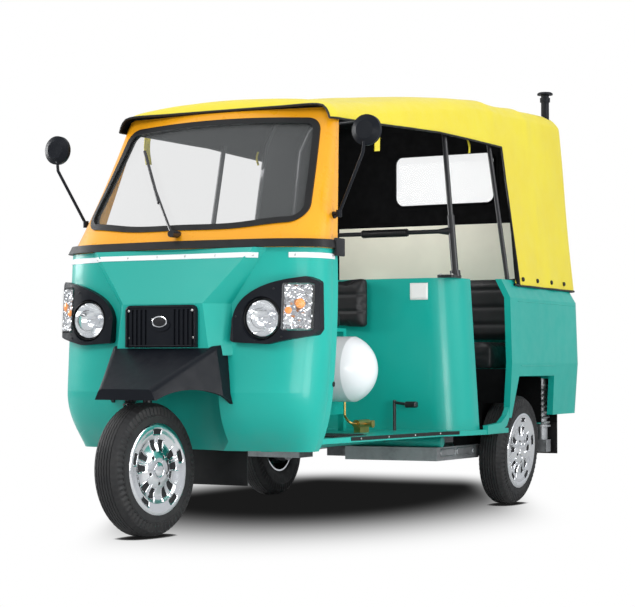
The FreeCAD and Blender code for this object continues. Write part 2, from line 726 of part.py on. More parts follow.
def partition():
    def level(height, half, inset):
        z = float(height)
        half = float(half) - inset
        front = float(s.partition_y) + inset
        corner = float(s.partition_corner) - inset
        back = float(s.partition_back_y) + (60 if inset else 0)
        turn = corner * (1 - math.cos(math.pi / 4))
        left = Part.Arc(Vector(-half, front + corner, z), Vector(-half + turn, front + turn, z),
                        Vector(-half + corner, front, z)).toShape()
        right = Part.Arc(Vector(half - corner, front, z), Vector(half - turn, front + turn, z),
                         Vector(half, front + corner, z)).toShape()
        return Part.Wire([
            Part.makeLine(Vector(-half, back, z), Vector(-half, front + corner, z)), left,
            Part.makeLine(Vector(-half + corner, front, z), Vector(half - corner, front, z)),
            right, Part.makeLine(Vector(half, front + corner, z), Vector(half, back, z)),
            Part.makeLine(Vector(half, back, z), Vector(-half, back, z))])

    def block(inset):
        low = level(s.floor_top, s.partition_half_low, inset)
        high = level(s.partition_top, s.partition_half_top, inset)
        return Part.makeLoft([low, high], True, True)
    wall = float(s.partition_wall)
    keep("partition", form("partition", block(0).cut(block(wall))))


def poles():
    foot_x = float(s.partition_half_top) - 18
    foot_y = float(s.partition_y) + 60
    base = float(s.partition_top) + float(s.seat_gap)
    start = Vector(foot_x, foot_y, base + 4)
    finish = Vector(float(s.hood_pole_half) - 24, foot_y + 45, float(s.hood_edge_back) + 16)
    run = finish - start
    pole = Part.makeCylinder(11, run.Length, start, run)
    sleeve = Part.makeCylinder(15, run.Length * 0.42, start, run)
    plate = span_box((foot_x - 62, foot_x + 14), (foot_y - 56, foot_y + 40), (base, base + 12))
    plate = plate.makeFillet(12, [e for e in plate.Edges if e.BoundBox.ZLength > 10])
    collar = Part.makeCylinder(22, 26, start, run)
    pole = pole.fuse(sleeve).fuse(plate).fuse(collar)
    keep("hood_poles", pair("hood_poles", form("pole_left", pole)))
    height = float(s.partition_top) + 197
    joint = start + run * ((height - start.z) / run.z)
    reach = joint.x - 2
    bar = Part.makeCylinder(9, 2 * reach, Vector(-reach, joint.y, joint.z), Vector(1, 0, 0))
    for side in (-1, 1):
        grip = Part.makeCylinder(15, 210, Vector(side * 170, joint.y, joint.z), Vector(side, 0, 0))
        taper = Part.makeCone(9, 19, 58, Vector(side * (reach - 58), joint.y, joint.z),
                              Vector(side, 0, 0))
        bar = bar.fuse(grip).fuse(taper)
    for side in (-1, 1):
        saddle = Part.makeCylinder(15 + float(s.seat_gap), run.Length,
                                   Vector(side * start.x, start.y, start.z),
                                   Vector(side * run.x, run.y, run.z))
        bar = bar.cut(saddle)
    keep("grab_bar", form("grab_bar", bar))


def driver_seat():
    half = s.driver_seat_half
    top = s.driver_seat_top
    y_low = s.driver_seat_y - s.driver_seat_depth / 2
    y_high = s.driver_seat_y + s.driver_seat_depth / 2
    plate = box("driver_plate", (-half, half), (y_low, y_high), (top - 14, top))
    parts = [plate]
    for side in (-1, 1):
        for y in (y_low, y_high - 26):
            x = side * (half - 13)
            parts.append(box("driver_leg", (x - 13, x + 13), (y, y + 26), (s.floor_top, top - 14)))
        x = side * (half - 13)
        saddle = box("cylinder_saddle", (x - 13, x + 13), (y_low + 26, y_high - 26),
                     (s.cylinder_z - 185, s.cylinder_z - 60))
        hole = cylinder("saddle_hole", "x", s.cylinder_radius + s.seat_gap, 40,
                        (x - 20, s.cylinder_y, s.cylinder_z))
        parts.append(cut("saddle", saddle, hole))
    keep("driver_seat_frame", fuse("driver_seat_frame", parts))
    pad = box("driver_pad", (-half, half), (y_low, y_high),
              (top + s.seat_gap, top + s.driver_cushion_thick))
    keep("driver_cushion", pad)
    back_half = s.driver_back_half
    rest = box("driver_back", (-back_half, back_half),
               (s.partition_y - s.seat_gap - s.driver_back_thick, s.partition_y - s.seat_gap),
               (s.driver_back_top - 215, s.driver_back_top))
    keep("driver_backrest", rest)
    radius = s.cylinder_radius
    end = s.cylinder_half
    dome = radius * 1.08
    knee = end - dome + root(dome * dome - radius * radius)
    tank = turned("tank", "XY_Plane", [
        (-end, 0), (end, 0, dome), (knee, radius), (-knee, radius, dome),
    ])
    move(tank, (0, s.cylinder_y, s.cylinder_z))
    keep("gas_cylinder", tank)


def hand_lever():
    base = float(s.floor_top) + float(s.seat_gap)
    y = float(s.partition_y) - 70
    x = float(s.tub_half) - 329
    post = Part.makeCylinder(7, 125, Vector(x, y, base), Vector(0, 0, 1))
    arm = tube("lever_arm", [(x, y, base + 115), (x + 65, y - 10, base + 107)], 6, 8)
    knob = Part.makeBox(52, 30, 26, Vector(x + 55, y - 26, base + 94))
    knob = knob.makeFillet(8, knob.Edges)
    keep("hand_lever", form("hand_lever", post.fuse(arm).fuse(knob)))


def gas_pipework():
    """Valve, regulator and pipes of the gas supply on the floor below the cylinder's left end."""
    y = float(s.cylinder_y)
    base = float(s.floor_top) + float(s.seat_gap)
    low = float(s.cylinder_z) - float(s.cylinder_radius) - float(s.seat_gap)
    x = float(s.cylinder_half) - 72
    body = Part.makeCylinder(17, 110, Vector(x - 20, y + 20, base + 34), Vector(0, 1, 0))
    foot = span_box((x - 34, x - 6), (y + 30, y + 110), (base, base + 22))
    riser = tube("gas_riser", [(x - 20, y + 30, base + 34), (x - 20, y - 40, base + 40),
                               (x - 60, y, base + 66), (x - 60, y, low)], 5, 14)
    link = tube("gas_link", [(x - 20, y + 125, base + 34), (x - 20, y + 190, base + 40),
                             (x - 110, y + 230, base + 30), (x - 110, y + 330, base + 30)], 5, 14)
    tap = Part.makeCylinder(6, 46, Vector(x - 20, y + 75, base + 34), Vector(1, 0, 0))
    wheel = Part.makeCylinder(15, 8, Vector(x + 22, y + 75, base + 34), Vector(1, 0, 0))
    body = body.fuse(foot).fuse(riser).fuse(link).fuse(tap).fuse(wheel)
    keep("gas_pipework", form("gas_pipework", body))


def tub_block(inset, ahead):
    """The rear body's envelope, moved in by inset."""
    def level(height, half, back):
        z = float(height)
        half = float(half) - inset
        back = float(back) - inset
        front = float(s.tub_front_y) - ahead
        corner = float(s.tub_corner) - inset
        turn = corner * (1 - math.cos(math.pi / 4))
        left = Part.Arc(Vector(-half, back - corner, z), Vector(-half + turn, back - turn, z),
                        Vector(-half + corner, back, z)).toShape()
        right = Part.Arc(Vector(half - corner, back, z), Vector(half - turn, back - turn, z),
                         Vector(half, back - corner, z)).toShape()
        return Part.Wire([
            Part.makeLine(Vector(-half, front, z), Vector(-half, back - corner, z)), left,
            Part.makeLine(Vector(-half + corner, back, z), Vector(half - corner, back, z)),
            right, Part.makeLine(Vector(half, back - corner, z), Vector(half, front, z)),
            Part.makeLine(Vector(half, front, z), Vector(-half, front, z))])
    return Part.makeLoft([
        level(s.tub_low, s.tub_half_low, s.tub_back_y - 8),
        level(s.tub_swage, s.tub_half, s.tub_back_y),
        level(s.tub_shoulder, s.tub_half - 8, s.tub_back_y - 4),
        level(s.tub_top, s.tub_half_top, s.tub_back_top_y),
    ], True, True)


def rear_body():
    wall = float(s.tub_wall)
    split = float(s.quarter_split)
    shell = tub_block(0, 0).cut(tub_block(wall, 80))
    lean = float(s.arch_lean)
    low = float(s.tub_low) - 5
    front = float(s.arch_front_y)
    back = float(s.arch_back_y)
    corners = [(front - lean, low), (front, float(s.arch_top)), (back, float(s.arch_top)),
               (back + 6, low)]
    points = [Vector(-900, y, z) for y, z in corners]
    arch = Part.Face(Part.makePolygon(points + points[:1])).extrude(Vector(1800, 0, 0))
    sides = shell.cut(arch)
    tower = float(s.arm_top + s.seat_gap + s.shock_length + s.seat_gap)
    for side in (-1, 1):
        x = side * float(s.shock_x)
        reach = float(s.tub_half) - wall / 2
        low_x, high_x = sorted((x - side * 44, side * reach))
        y = float(s.shock_y)
        sides = sides.fuse(span_box((low_x, high_x), (y - 42, y + 42), (tower, tower + 12)))
    left = sides.common(span_box((split, 900), (0, 2000), (0, 1200)))
    keep("rear_quarter_left", form("rear_quarter_left", left))
    right = sides.common(span_box((-900, -split), (0, 2000), (0, 1200)))
    keep("rear_quarter_right", form("rear_quarter_right", right))
    half = float(s.lid_half)
    panel = shell.common(span_box((-split + 0.3, split - 0.3), (1200, 2000), (0, 1200)))
    lid_hole = span_box((-half, half), (1200, 2000), (float(s.lid_low), float(s.lid_high)))
    panel = panel.cut(lid_hole)
    gap = float(s.lid_gap)
    lid_zone = span_box((-half + gap, half - gap), (1200, 2000),
                        (float(s.lid_low) + gap, float(s.lid_high) - gap))
    lid = shell.cut(tub_block(float(s.lid_thick), 80)).common(lid_zone)
    axis_y = float(s.tub_back_y) + 1
    axis_z = float(s.lid_high)
    pin_radius = float(s.pin_radius)
    for side in (-1, 1):
        x = side * float(s.hinge_x)
        pin = Part.makeCylinder(pin_radius, 46, Vector(x - 23, axis_y, axis_z), Vector(1, 0, 0))
        tab = span_box((x - 9, x + 9), (axis_y - 9, axis_y + 4), (axis_z - 16, axis_z + 4))
        relief = span_box((x - 27, x + 27), (axis_y - 40, axis_y + 9), (axis_z - 14, axis_z))
        lid = lid.cut(relief).fuse(pin).fuse(tab)
        notch = span_box((x - 14, x + 14), (axis_y - 40, axis_y + 9), (axis_z - 1, axis_z + 11))
        panel = panel.cut(notch)
        for end in (-1, 1):
            ear = span_box((x + end * 19 - 5, x + end * 19 + 5), (axis_y - 15, axis_y + 7),
                           (axis_z - 6, axis_z + 12))
            panel = panel.fuse(ear)
        bore = Part.makeCylinder(pin_radius + float(s.pin_gap), 60, Vector(x - 30, axis_y, axis_z),
                                 Vector(1, 0, 0))
        panel = panel.cut(bore)
    keep("rear_panel", form("rear_panel", panel))
    keep("rear_lid", form("rear_lid", lid))


def engine_deck():
    sheet_t = s.deck_sheet
    y = s.bulkhead_y
    inner = s.tub_half_top - s.tub_wall - 6
    back = s.tub_back_top_y - s.tub_wall - s.trim_sheet - 2 * s.seat_gap
    body = padded("deck_profile", "YZ_Plane", [
        (y, s.floor_top), (y + sheet_t, s.floor_top), (y + sheet_t, s.deck_height - sheet_t),
        (back - sheet_t, s.deck_height - sheet_t), (back - sheet_t, s.deck_height - 60),
        (back, s.deck_height - 60), (back, s.deck_height), (y, s.deck_height),
    ], 2 * inner)
    keep("engine_deck", body)


def seats():
    outer = s.seat_base_half
    rise = (s.seat_top - s.seat_sheet - s.tub_low) / (s.tub_swage - s.tub_low)
    wide = s.tub_half_low + (s.tub_half - s.tub_half_low) * rise - s.tub_wall - s.seat_gap
    t = s.seat_sheet
    low = s.floor_top
    step = s.seat_top - t
    profile = [
        (-outer, low), (-outer, step), (-wide, step), (-wide, s.seat_top), (wide, s.seat_top),
        (wide, step), (outer, step), (outer, low), (outer - t, low), (outer - t, step),
        (-outer + t, step), (-outer + t, low),
    ]
    depth = s.bulkhead_y - s.seat_front_y - s.seat_gap
    body = padded("base_profile", "XZ_Plane", profile, depth, False, True)
    move(body, (0, s.seat_front_y, 0))
    front = box("base_front", (-outer, outer), (s.seat_front_y, s.seat_front_y + t), (low, step))
    keep("seat_base", fuse("seat_base", [body, front]))
    top = s.seat_top + s.seat_gap
    pad_top = s.seat_top + s.cushion_thick
    keep("passenger_cushion", box("passenger_pad", (-s.seat_half, s.seat_half),
                                  (s.seat_front_y - 35, s.seat_back_y), (top, pad_top)))
    keep("passenger_backrest", box("passenger_back", (-s.seat_half + 10, s.seat_half - 10),
                                   (s.seat_back_y + 8, s.bulkhead_y - s.seat_gap),
                                   (pad_top + 1, s.backrest_top)))
    trim_back = s.tub_back_top_y - s.tub_wall - s.seat_gap
    trim_half = s.quarter_split - 2
    keep("inner_trim", box("inner_trim", (-trim_half, trim_half),
                           (trim_back - s.trim_sheet, trim_back), (s.deck_height - 60, s.trim_top)))


def hood_points(top, half, low_half, inset, low):
    """Half of a transverse section of the canopy, from its hem to its crown."""
    slope = (low_half - half) / (float(s.hood_edge_back) + 4 - float(s.hood_low))
    foot = low_half + slope * (float(s.hood_low) - low) - inset
    half -= inset
    top -= inset
    return [(foot, low), (half, top - 145), (half - 12, top - 85), (half - 62, top - 38),
            (half * 0.7, top - 20.5), (half * 0.42, top - 7.5), (0, top)]


def hood_front_points(inset, low):
    """The same where the canopy lies on the windshield frame, round the frame's top corners."""
    lap = float(s.hood_skin + s.shell_lap) - inset
    side = float(s.frame_top_half) + 2 + lap
    lean = float(s.cowl_half - s.frame_top_half + 8) / float(s.frame_top - s.belt_height)
    corner = float(s.frame_corner)
    middle = float(s.frame_top) - corner
    turn = (corner + lap) * math.sqrt(0.5)
    top = float(s.frame_top) + lap
    centre = side - corner - lap
    return [(side + lean * (middle - low), low), (side + lean * 52, middle - 52), (side, middle),
            (centre + turn, middle + turn), (centre, top), (centre * 0.6, top + 0.4),
            (0, top + 0.6)]


def hood_wire(y, points):
    """A closed section of the canopy from the points of its one half."""
    left = [Vector(-x, y, z) for x, z in points]
    right = [Vector(x, y, z) for x, z in reversed(points)]
    curve = Part.BSplineCurve()
    curve.interpolate(left[1:] + right[1:-1])
    return Part.Wire([
        Part.makeLine(left[0], left[1]), curve.toShape(), Part.makeLine(right[-2], right[-1]),
        Part.makeLine(right[-1], left[0])])


def hood_hem():
    """Half width and back of the canopy's hem, just outside the rear body at that height."""
    rise = (s.hood_low - s.tub_shoulder) / (s.tub_top - s.tub_shoulder)
    half = s.tub_half - 8 - (s.tub_half - 8 - s.tub_half_top) * rise
    back = s.tub_back_y - 4 - (s.tub_back_y - 4 - s.tub_back_top_y) * rise
    lap = s.hood_skin + s.shell_lap
    return half + lap, back + lap


def hood_stations():
    """The canopy's supports from front to back: place, top, half width at the shoulder and hem."""
    hem, back = hood_hem()
    stations = [
        (s.hood_front_y + s.hood_nose, s.hood_front_top, s.hood_front_half),
        (s.partition_y + 90, s.hood_pole_top, s.hood_pole_half),
        (s.bow_front_y, s.hood_bow_top, s.hood_bow_half),
        (s.bow_back_y, s.hood_last_top, s.hood_last_half),
        (back - s.hood_turn, s.hood_back_top, s.hood_back_half),
    ]
    return [(float(y), float(top), float(half), float(hem)) for y, top, half in stations]


def hood_at(y):
    """The canopy's top and shoulder half width at a place along the vehicle."""
    stations = hood_stations()
    for first, last in zip(stations, stations[1:]):
        if y <= last[0]:
            break
    share = (y - first[0]) / (last[0] - first[0])
    return [a + (b - a) * share for a, b in zip(first[1:], last[1:])]


def hood_block(inset, ahead, low):
    """The canopy's envelope, moved in by inset: stretched between supports, round at both ends."""
    hem, back = [float(value) for value in hood_hem()]
    stations = hood_stations()
    block = Part.makeLoft([hood_wire(y, hood_points(top, half, foot, inset, low))
                           for y, top, half, foot in stations], True, True)
    start, top, half, foot = stations[0]
    first = hood_front_points(inset, low)
    full = hood_points(top, half, foot, inset, low)
    nose = float(s.hood_nose)
    ends = []
    for reach, rise in ((0, 0), (0.2, 0.45), (0.55, 0.84), (1, 1)):
        blend = [(a[0] + (b[0] - a[0]) * rise, a[1] + (b[1] - a[1]) * rise)
                 for a, b in zip(first, full)]
        ends.append(hood_wire(start - nose + reach * nose, blend))
    block = block.fuse(Part.makeLoft(ends, True, False))
    if ahead:
        lip = [hood_wire(start - nose - ahead, first), hood_wire(start - nose, first)]
        block = block.fuse(Part.makeLoft(lip, True, True))
    turn = float(s.hood_turn)
    ends = []
    for reach, fall in ((0, 0), (0.42, 0.08), (0.76, 0.34), (1, 1)):
        drop = fall * 46
        y = back - turn + reach * turn - (inset if fall == 1 else 0)
        points = hood_points(float(s.hood_back_top) - drop, float(s.hood_back_half) - drop,
                             hem - drop, inset, low)
        ends.append(hood_wire(y, points))
    return block.fuse(Part.makeLoft(ends, True, True))


def canopy():
    low = float(s.hood_low)
    skin = float(s.hood_skin)
    shell = hood_block(0, 0, low).cut(hood_block(skin, 60, low - 40))
    seat = span_box((-900, 900), (-900, float(s.frame_back_y) + 1), (0, 2000))
    shell = shell.cut(frame_outline(float(s.shell_lap)).common(seat))
    front = float(s.hood_front_y) - 100
    corners = [(front, low - 60), (front, float(s.hood_edge_front)),
               (float(s.partition_y), float(s.hood_edge_back)),
               (float(s.hood_door_top_y), float(s.hood_edge_back)),
               (float(s.hood_door_low_y), low - 60)]
    points = [Vector(-900, y, z) for y, z in corners]
    doors = Part.Face(Part.makePolygon(points + points[:1])).extrude(Vector(1800, 0, 0))
    half = float(s.window_rear_half)
    z_low = float(s.window_rear_low)
    z_high = float(s.window_rear_high)
    back = float(hood_hem()[1])
    gap = float(s.seat_gap)
    thick = float(s.film_thick)
    corner = 36

    def opening(inset, front_y, back_y):
        block = span_box((-half + inset, half - inset), (front_y, back_y),
                         (z_low + inset, z_high - inset))
        edges = [e for e in block.Edges if e.BoundBox.XLength < 1 and e.BoundBox.ZLength < 1]
        return block.makeFillet(corner - inset, edges)
    keep("canopy", form("canopy", shell.cut(doors).cut(opening(0, back - 100, back + 100))))
    middle = back - skin / 2
    pane = opening(gap, middle - thick / 2, middle + thick / 2)
    keep("rear_window", form("rear_window", pane))


def canopy_bows():
    radius = float(s.bow_radius)
    bows = []
    foot = float(s.tub_half_top - s.tub_wall / 2)
    for y in (float(s.bow_front_y), float(s.bow_back_y)):
        inset = float(s.hood_skin) + radius + 5
        top, half, _ = [value - inset for value in hood_at(y)]
        low = float(s.tub_top) + 2
        path = [(-foot, y, low), (-half + 6, y, top - 150), (-half + 70, y, top - 26), (0, y, top),
                (half - 70, y, top - 26), (half - 6, y, top - 150), (foot, y, low)]
        bows.append(tube("bow", path, radius, 70))
    keep("canopy_bows", form("canopy_bows", Part.Compound(bows)))


def snorkel():
    foot = Vector(float(s.hood_back_half) - 58, float(s.tub_back_y) - 98, float(s.hood_back_top) - 64)
    up = Vector(0, 0, 1)
    pipe = Part.makeCylinder(19, 130, foot, up)
    cap = Part.makeCylinder(37, 7, foot + up * 130, up)
    crown = Part.makeCone(37, 30, 5, foot + up * 137, up)
    neck = Part.makeCylinder(24, 20, foot + up * 96, up)
    body = pipe.fuse(neck).fuse(cap).fuse(crown)
    body = body.cut(hood_block(-float(s.seat_gap), 0, float(s.hood_low)))
    keep("snorkel", form("snorkel", body))


def tail_lamps():
    low = s.lid_low + 90
    back = s.tub_back_y + s.seat_gap
    lamp = box("tail_left", (s.lid_half + 70, s.lid_half + 140), (back, back + 11.7), (low, low + 140))
    keep("tail_lamps", pair("tail_lamps", lamp))


def engine_block():
    block = box("engine_block", (-s.engine_half, s.engine_half),
                (s.rear_axle_y - 125, s.rear_axle_y + 295),
                (s.floor_top - 145, s.floor_top + 195))
    keep("engine_block", block)


def rear_hub_height():
    return s.tyre_radius * cosine(s.rear_camber) + s.tread_half * sine(s.rear_camber)


def coil(low, way, height, radius, wire, turns):
    """A coil spring as six-sided wire that climbs round an axis in short straight runs."""
    side = way.cross(Vector(0, 1, 0)).normalize()
    ahead = way.cross(side)
    steps = 12
    sections = []
    for index in range(steps * turns + 1):
        angle = 2 * math.pi * index / steps
        out = side * math.cos(angle) + ahead * math.sin(angle)
        centre = low + way * (height * index / (steps * turns)) + out * radius
        corners = [centre + out * (wire * math.cos(turn * math.pi / 3))
                   + way * (wire * math.sin(turn * math.pi / 3)) for turn in range(6)]
        sections.append(Part.makePolygon(corners + corners[:1]))
    return Part.makeLoft(sections, True, True)


def sprung_strut(low, high, radius, spring_radius, turns):
    """A damper between two points, with its coil spring between two seats."""
    run = high - low
    length = run.Length
    way = Vector(run).normalize()
    wire = spring_radius / 6
    start = low + way * (length * 0.24)
    tall = length * 0.64
    strut = Part.makeCylinder(radius, length, low, way)
    for end in (start - way * 8, start + way * tall):
        strut = strut.fuse(Part.makeCylinder(spring_radius, 8, end, way))
    return strut.fuse(coil(start, way, tall, spring_radius - wire, wire, turns))


def trailing_arms():
    hub_z = float(rear_hub_height())
    axle = float(s.rear_axle_y)
    tail = float(s.shock_y)
    inner = float(s.rear_wheel_x)
    pivot = float(s.partition_y) + 25
    plan = [(110, pivot), (inner - 86, pivot + 30), (inner - 61, axle - 205),
            (inner - 101, axle - 125), (inner - 101, axle + 135), (inner - 151, axle + 175),
            (inner - 151, tail - 30), (inner + 44, tail - 30), (inner + 44, tail + 30),
            (inner - 206, tail + 30), (inner - 206, axle + 175), (inner - 246, axle - 125),
            (110, pivot + 125)]
    deep = float(s.arm_deep)
    points = [Vector(x, y, float(s.arm_top) - deep) for x, y in plan]
    arm = Part.Face(Part.makePolygon(points + points[:1])).extrude(Vector(0, 0, deep))
    lean = math.radians(float(s.rear_camber))
    axis = Vector(math.cos(lean), 0, -math.sin(lean))
    hub = Vector(float(s.rear_wheel_x), float(s.rear_axle_y), hub_z)
    drum = Part.makeCylinder(float(s.hub_radius) + 20, 38, hub - axis * 100, axis)
    stub = Part.makeCylinder(float(s.stub_radius), 110, hub - axis * 90, axis)
    arm = arm.fuse(drum).fuse(stub)
    keep("trailing_arms", pair("trailing_arms", form("arm_left", arm)))
    foot = Vector(float(s.shock_x), float(s.shock_y), float(s.arm_top + s.seat_gap))
    shock = sprung_strut(foot, foot + Vector(0, 0, float(s.shock_length)), float(s.shock_radius),
                         float(s.spring_radius), int(float(s.spring_turns)))
    keep("rear_shocks", pair("rear_shocks", form("shock_left", shock)))


def mudflaps():
    flap_x = s.tub_half_low - s.tub_wall - s.seat_gap
    flap_y = s.arch_back_y + 140
    rear = box("flap_left", (flap_x - 130, flap_x), (flap_y, flap_y + 6), (205, s.tub_low + 52))
    both = pair("flap_pair", rear)
    belly = (s.crease_height + s.cowl_base) / 2
    floor_y = s.base_back_y + 14 * (s.floor_top - s.cowl_base) / (belly - s.cowl_base)
    front = box("flap_front", (-200, 200), (floor_y - 6, floor_y), (165, s.floor_top))
    obj = doc.addObject("Part::Compound", "mudflaps")
    obj.Links = [both, front]
    keep("mudflaps", obj)


def silencer():
    y = float(s.tub_back_y) - 228
    can = Part.makeCylinder(62, 420, Vector(-210, y, 330), Vector(1, 0, 0))
    can = can.makeChamfer(14, [e for e in can.Edges if e.BoundBox.XLength < 1])
    tail = tube("tail", [(-205, y, 330), (-280, y, 330), (-280, y + 160, 330)], 17, 30)
    engine_back = float(s.rear_axle_y) + 295 + float(s.seat_gap)
    header = Part.makeCylinder(16, y - engine_back, Vector(-150, engine_back, 322), Vector(0, 1, 0))
    keep("silencer", form("silencer", can.fuse(tail).fuse(header)))


# Steering and front suspension
def steering_axis():
    """A point on the steering axis at axle height, and its direction.

    The parked wheel leans a little, so its axle stands higher than the tyre's radius."""
    rake = math.radians(float(s.steer_rake))
    park = math.radians(float(s.steer_park))
    tilt = math.sin(park) * math.sin(rake)
    drop = float(s.steer_offset) * math.sin(rake) * math.cos(rake) * (1 - math.cos(park))
    height = float(s.tyre_radius) * math.sqrt(1 - tilt * tilt) + float(s.tread_half) * tilt + drop
    point = Vector(0, float(s.front_axle_y) + float(s.steer_offset), height)
    return point, Vector(0, math.sin(rake), math.cos(rake))


def parked(obj):
    """Turns a steered piece to the angle the bars are left at."""
    point, axis = steering_axis()
    turn = Rotation(axis, -float(s.steer_park))
    obj.Placement = Placement(point - turn.multVec(point), turn).multiply(obj.Placement)
    return obj


def front_fork():
    point, axis = steering_axis()

    def on_axis(height):
        return point + axis * ((height - point.z) / axis.z)
    side = -float(s.fork_side)
    y = float(s.front_axle_y)
    radius = float(s.fork_tube)
    pin_y = y + 136
    pin_z = 318
    column = tube("column", [on_axis(1000), on_axis(548), (side, pin_y + 8, pin_z + 202),
                             (side, pin_y, pin_z + 12)], radius, 26)
    lug = Part.makeCylinder(26, 40, Vector(side - 20, pin_y, pin_z), Vector(1, 0, 0))
    keep("front_fork", form("front_fork", column.fuse(lug)))
    inner_x = side - 20 - float(s.seat_gap)
    plate_t = 16
    outline = [(y - 20, point.z - 14), (y + 20, point.z - 22), (pin_y + 22, pin_z - 20),
               (pin_y + 20, pin_z + 20), (pin_y - 18, pin_z + 22), (y - 8, point.z + 22)]
    points = [Vector(inner_x - plate_t, a, b) for a, b in outline]
    plate = Part.Face(Part.makePolygon(points + points[:1])).extrude(Vector(plate_t, 0, 0))
    boss = Part.makeCylinder(24, 30, Vector(inner_x - plate_t, y, point.z), Vector(1, 0, 0))
    stub = Part.makeCylinder(float(s.stub_radius), 168, Vector(inner_x - plate_t, y, point.z),
                             Vector(1, 0, 0))
    keep("front_link", form("front_link", plate.fuse(boss).fuse(stub)))
    shock_x = inner_x - plate_t - float(s.seat_gap) - 24
    start = Vector(shock_x, y + 24, 256)
    finish = Vector(shock_x, y + 128, 520)
    keep("front_shock", form("front_shock", sprung_strut(start, finish, 11, 24, 8)))
    lug = span_box((shock_x - 20, side), (y + 120, y + 146), (523.5, 537.5))
    nodes["front_fork"].Shape = nodes["front_fork"].Shape.fuse(lug)
    bar_height = 1010
    top = on_axis(bar_height)
    bar = tube("bar", [(-300, top.y + 180, 1048), (-215, top.y + 100, 1046),
                       (-100, top.y, bar_height + 10), (100, top.y, bar_height + 10),
                       (215, top.y + 100, 1046), (300, top.y + 180, 1048)], 13, 30)
    clamp = Part.makeCylinder(24, 34, on_axis(1000) + axis * float(s.seat_gap), axis)
    keep("handlebar", form("handlebar", bar.fuse(clamp)))
    for name in ("front_fork", "front_link", "front_shock", "handlebar"):
        parked(nodes[name])


def wheel(name):
    """A tyre and its wheel with the chrome cover's windows, about the local X axis."""
    half = s.tyre_width / 2
    radius = s.tyre_radius
    seat = s.rim_radius + 6.5
    tread = s.tread_half
    tyre = turned(name + "_tyre", "XY_Plane", [
        (-half, seat), (-half, radius - 30), (-tread, radius), (tread, radius),
        (half, radius - 30), (half, seat),
    ])
    rim = seat - s.seat_gap
    bore = s.stub_radius + 1
    disc = turned(name + "_disc", "XY_Plane", [
        (-half + 8, rim - 10), (-half + 8, rim), (half - 3, rim), (half - 3, rim - 10),
        (half - 16, rim - 18), (half - 10, s.hub_radius + 4), (half + 2, s.hub_radius - 16),
        (half + 2, 0), (half - 8, 0), (half - 8, bore), (-half + 14, bore), (-half + 14, bore + 21),
        (half - 24, bore + 25), (half - 17, s.hub_radius + 2), (half - 23, rim - 20),
        (half - 30, rim - 10),
    ])
    windows = []
    for index in range(5):
        middle = 360 * index / 5
        windows.append(cover_window(middle, float(rim) - 38, float(rim) - 22, 30))
        for side in (-1, 1):
            windows.append(cover_window(middle + side * 15, float(s.hub_radius) + 6,
                                        float(rim) - 46, 11))
    holes = form(name + "_windows", Part.Compound(windows))
    return tyre, cut(name + "_wheel", disc, holes)


def cover_window(angle, inner, outer, width):
    """One cut-out of the wheel cover, from an inner to an outer radius."""
    block = span_box((0, float(s.tyre_width)), (-width / 2, width / 2), (inner, outer))
    block.rotate(Vector(), Vector(1, 0, 0), angle)
    return block


def wheels():
    tyre, rim = wheel("front")
    for obj in (tyre, rim):
        obj.Placement = Placement(Vector(0, float(s.front_axle_y), steering_axis()[0].z), Rotation())
        parked(obj)
    keep("front_tyre", tyre)
    keep("front_wheel", rim)
    for side, word in ((1, "left"), (-1, "right")):
        tyre, rim = wheel("rear_" + word)
        lean = Rotation(Vector(0, 1, 0), side * float(s.rear_camber))
        turn = Rotation() if side > 0 else Rotation(Vector(0, 0, 1), 180)
        for obj in (tyre, rim):
            at = Vector(side * float(s.rear_wheel_x), float(s.rear_axle_y), float(rear_hub_height()))
            obj.Placement = Placement(at, lean.multiply(turn))
        keep("rear_%s_tyre" % word, tyre)
        keep("rear_%s_wheel" % word, rim)


def build():
    for make in (front_cowl, windshield, belt_moulding, grille_panel, front_fender, lamps, mirrors,
                 wiper, dashboard, floor, partition, poles, driver_seat, hand_lever, gas_pipework,
                 rear_body,
                 engine_deck, seats, canopy, canopy_bows, snorkel, tail_lamps, engine_block,
                 trailing_arms, mudflaps, silencer, front_fork, wheels):
        make()
    doc.recompute()


def check_and_write():
    for obj in doc.Objects:
        if "Invalid" in obj.State or "Error" in obj.State:
            raise RuntimeError("failed object: " + obj.Label)
    for name, obj in nodes.items():
        if obj.Shape.isNull() or not obj.Shape.isValid() or not obj.Shape.Solids:
            raise RuntimeError("bad shape: " + name)
    os.makedirs("parts", exist_ok=True)
    for name, obj in nodes.items():
        obj.Shape.exportStep("parts/%s.step" % name)
        bounds = obj.Shape.BoundBox
        print("%-22s %d solids, x %.0f %.0f, y %.0f %.0f, z %.0f %.0f" % (
            name, len(obj.Shape.Solids), bounds.XMin, bounds.XMax, bounds.YMin, bounds.YMax,
            bounds.ZMin, bounds.ZMax))


build()
check_and_write()
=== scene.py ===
import json
import math

import bmesh
import bpy
import numpy as np
from mathutils import Matrix, Vector, noise
from mathutils.bvhtree import BVHTree


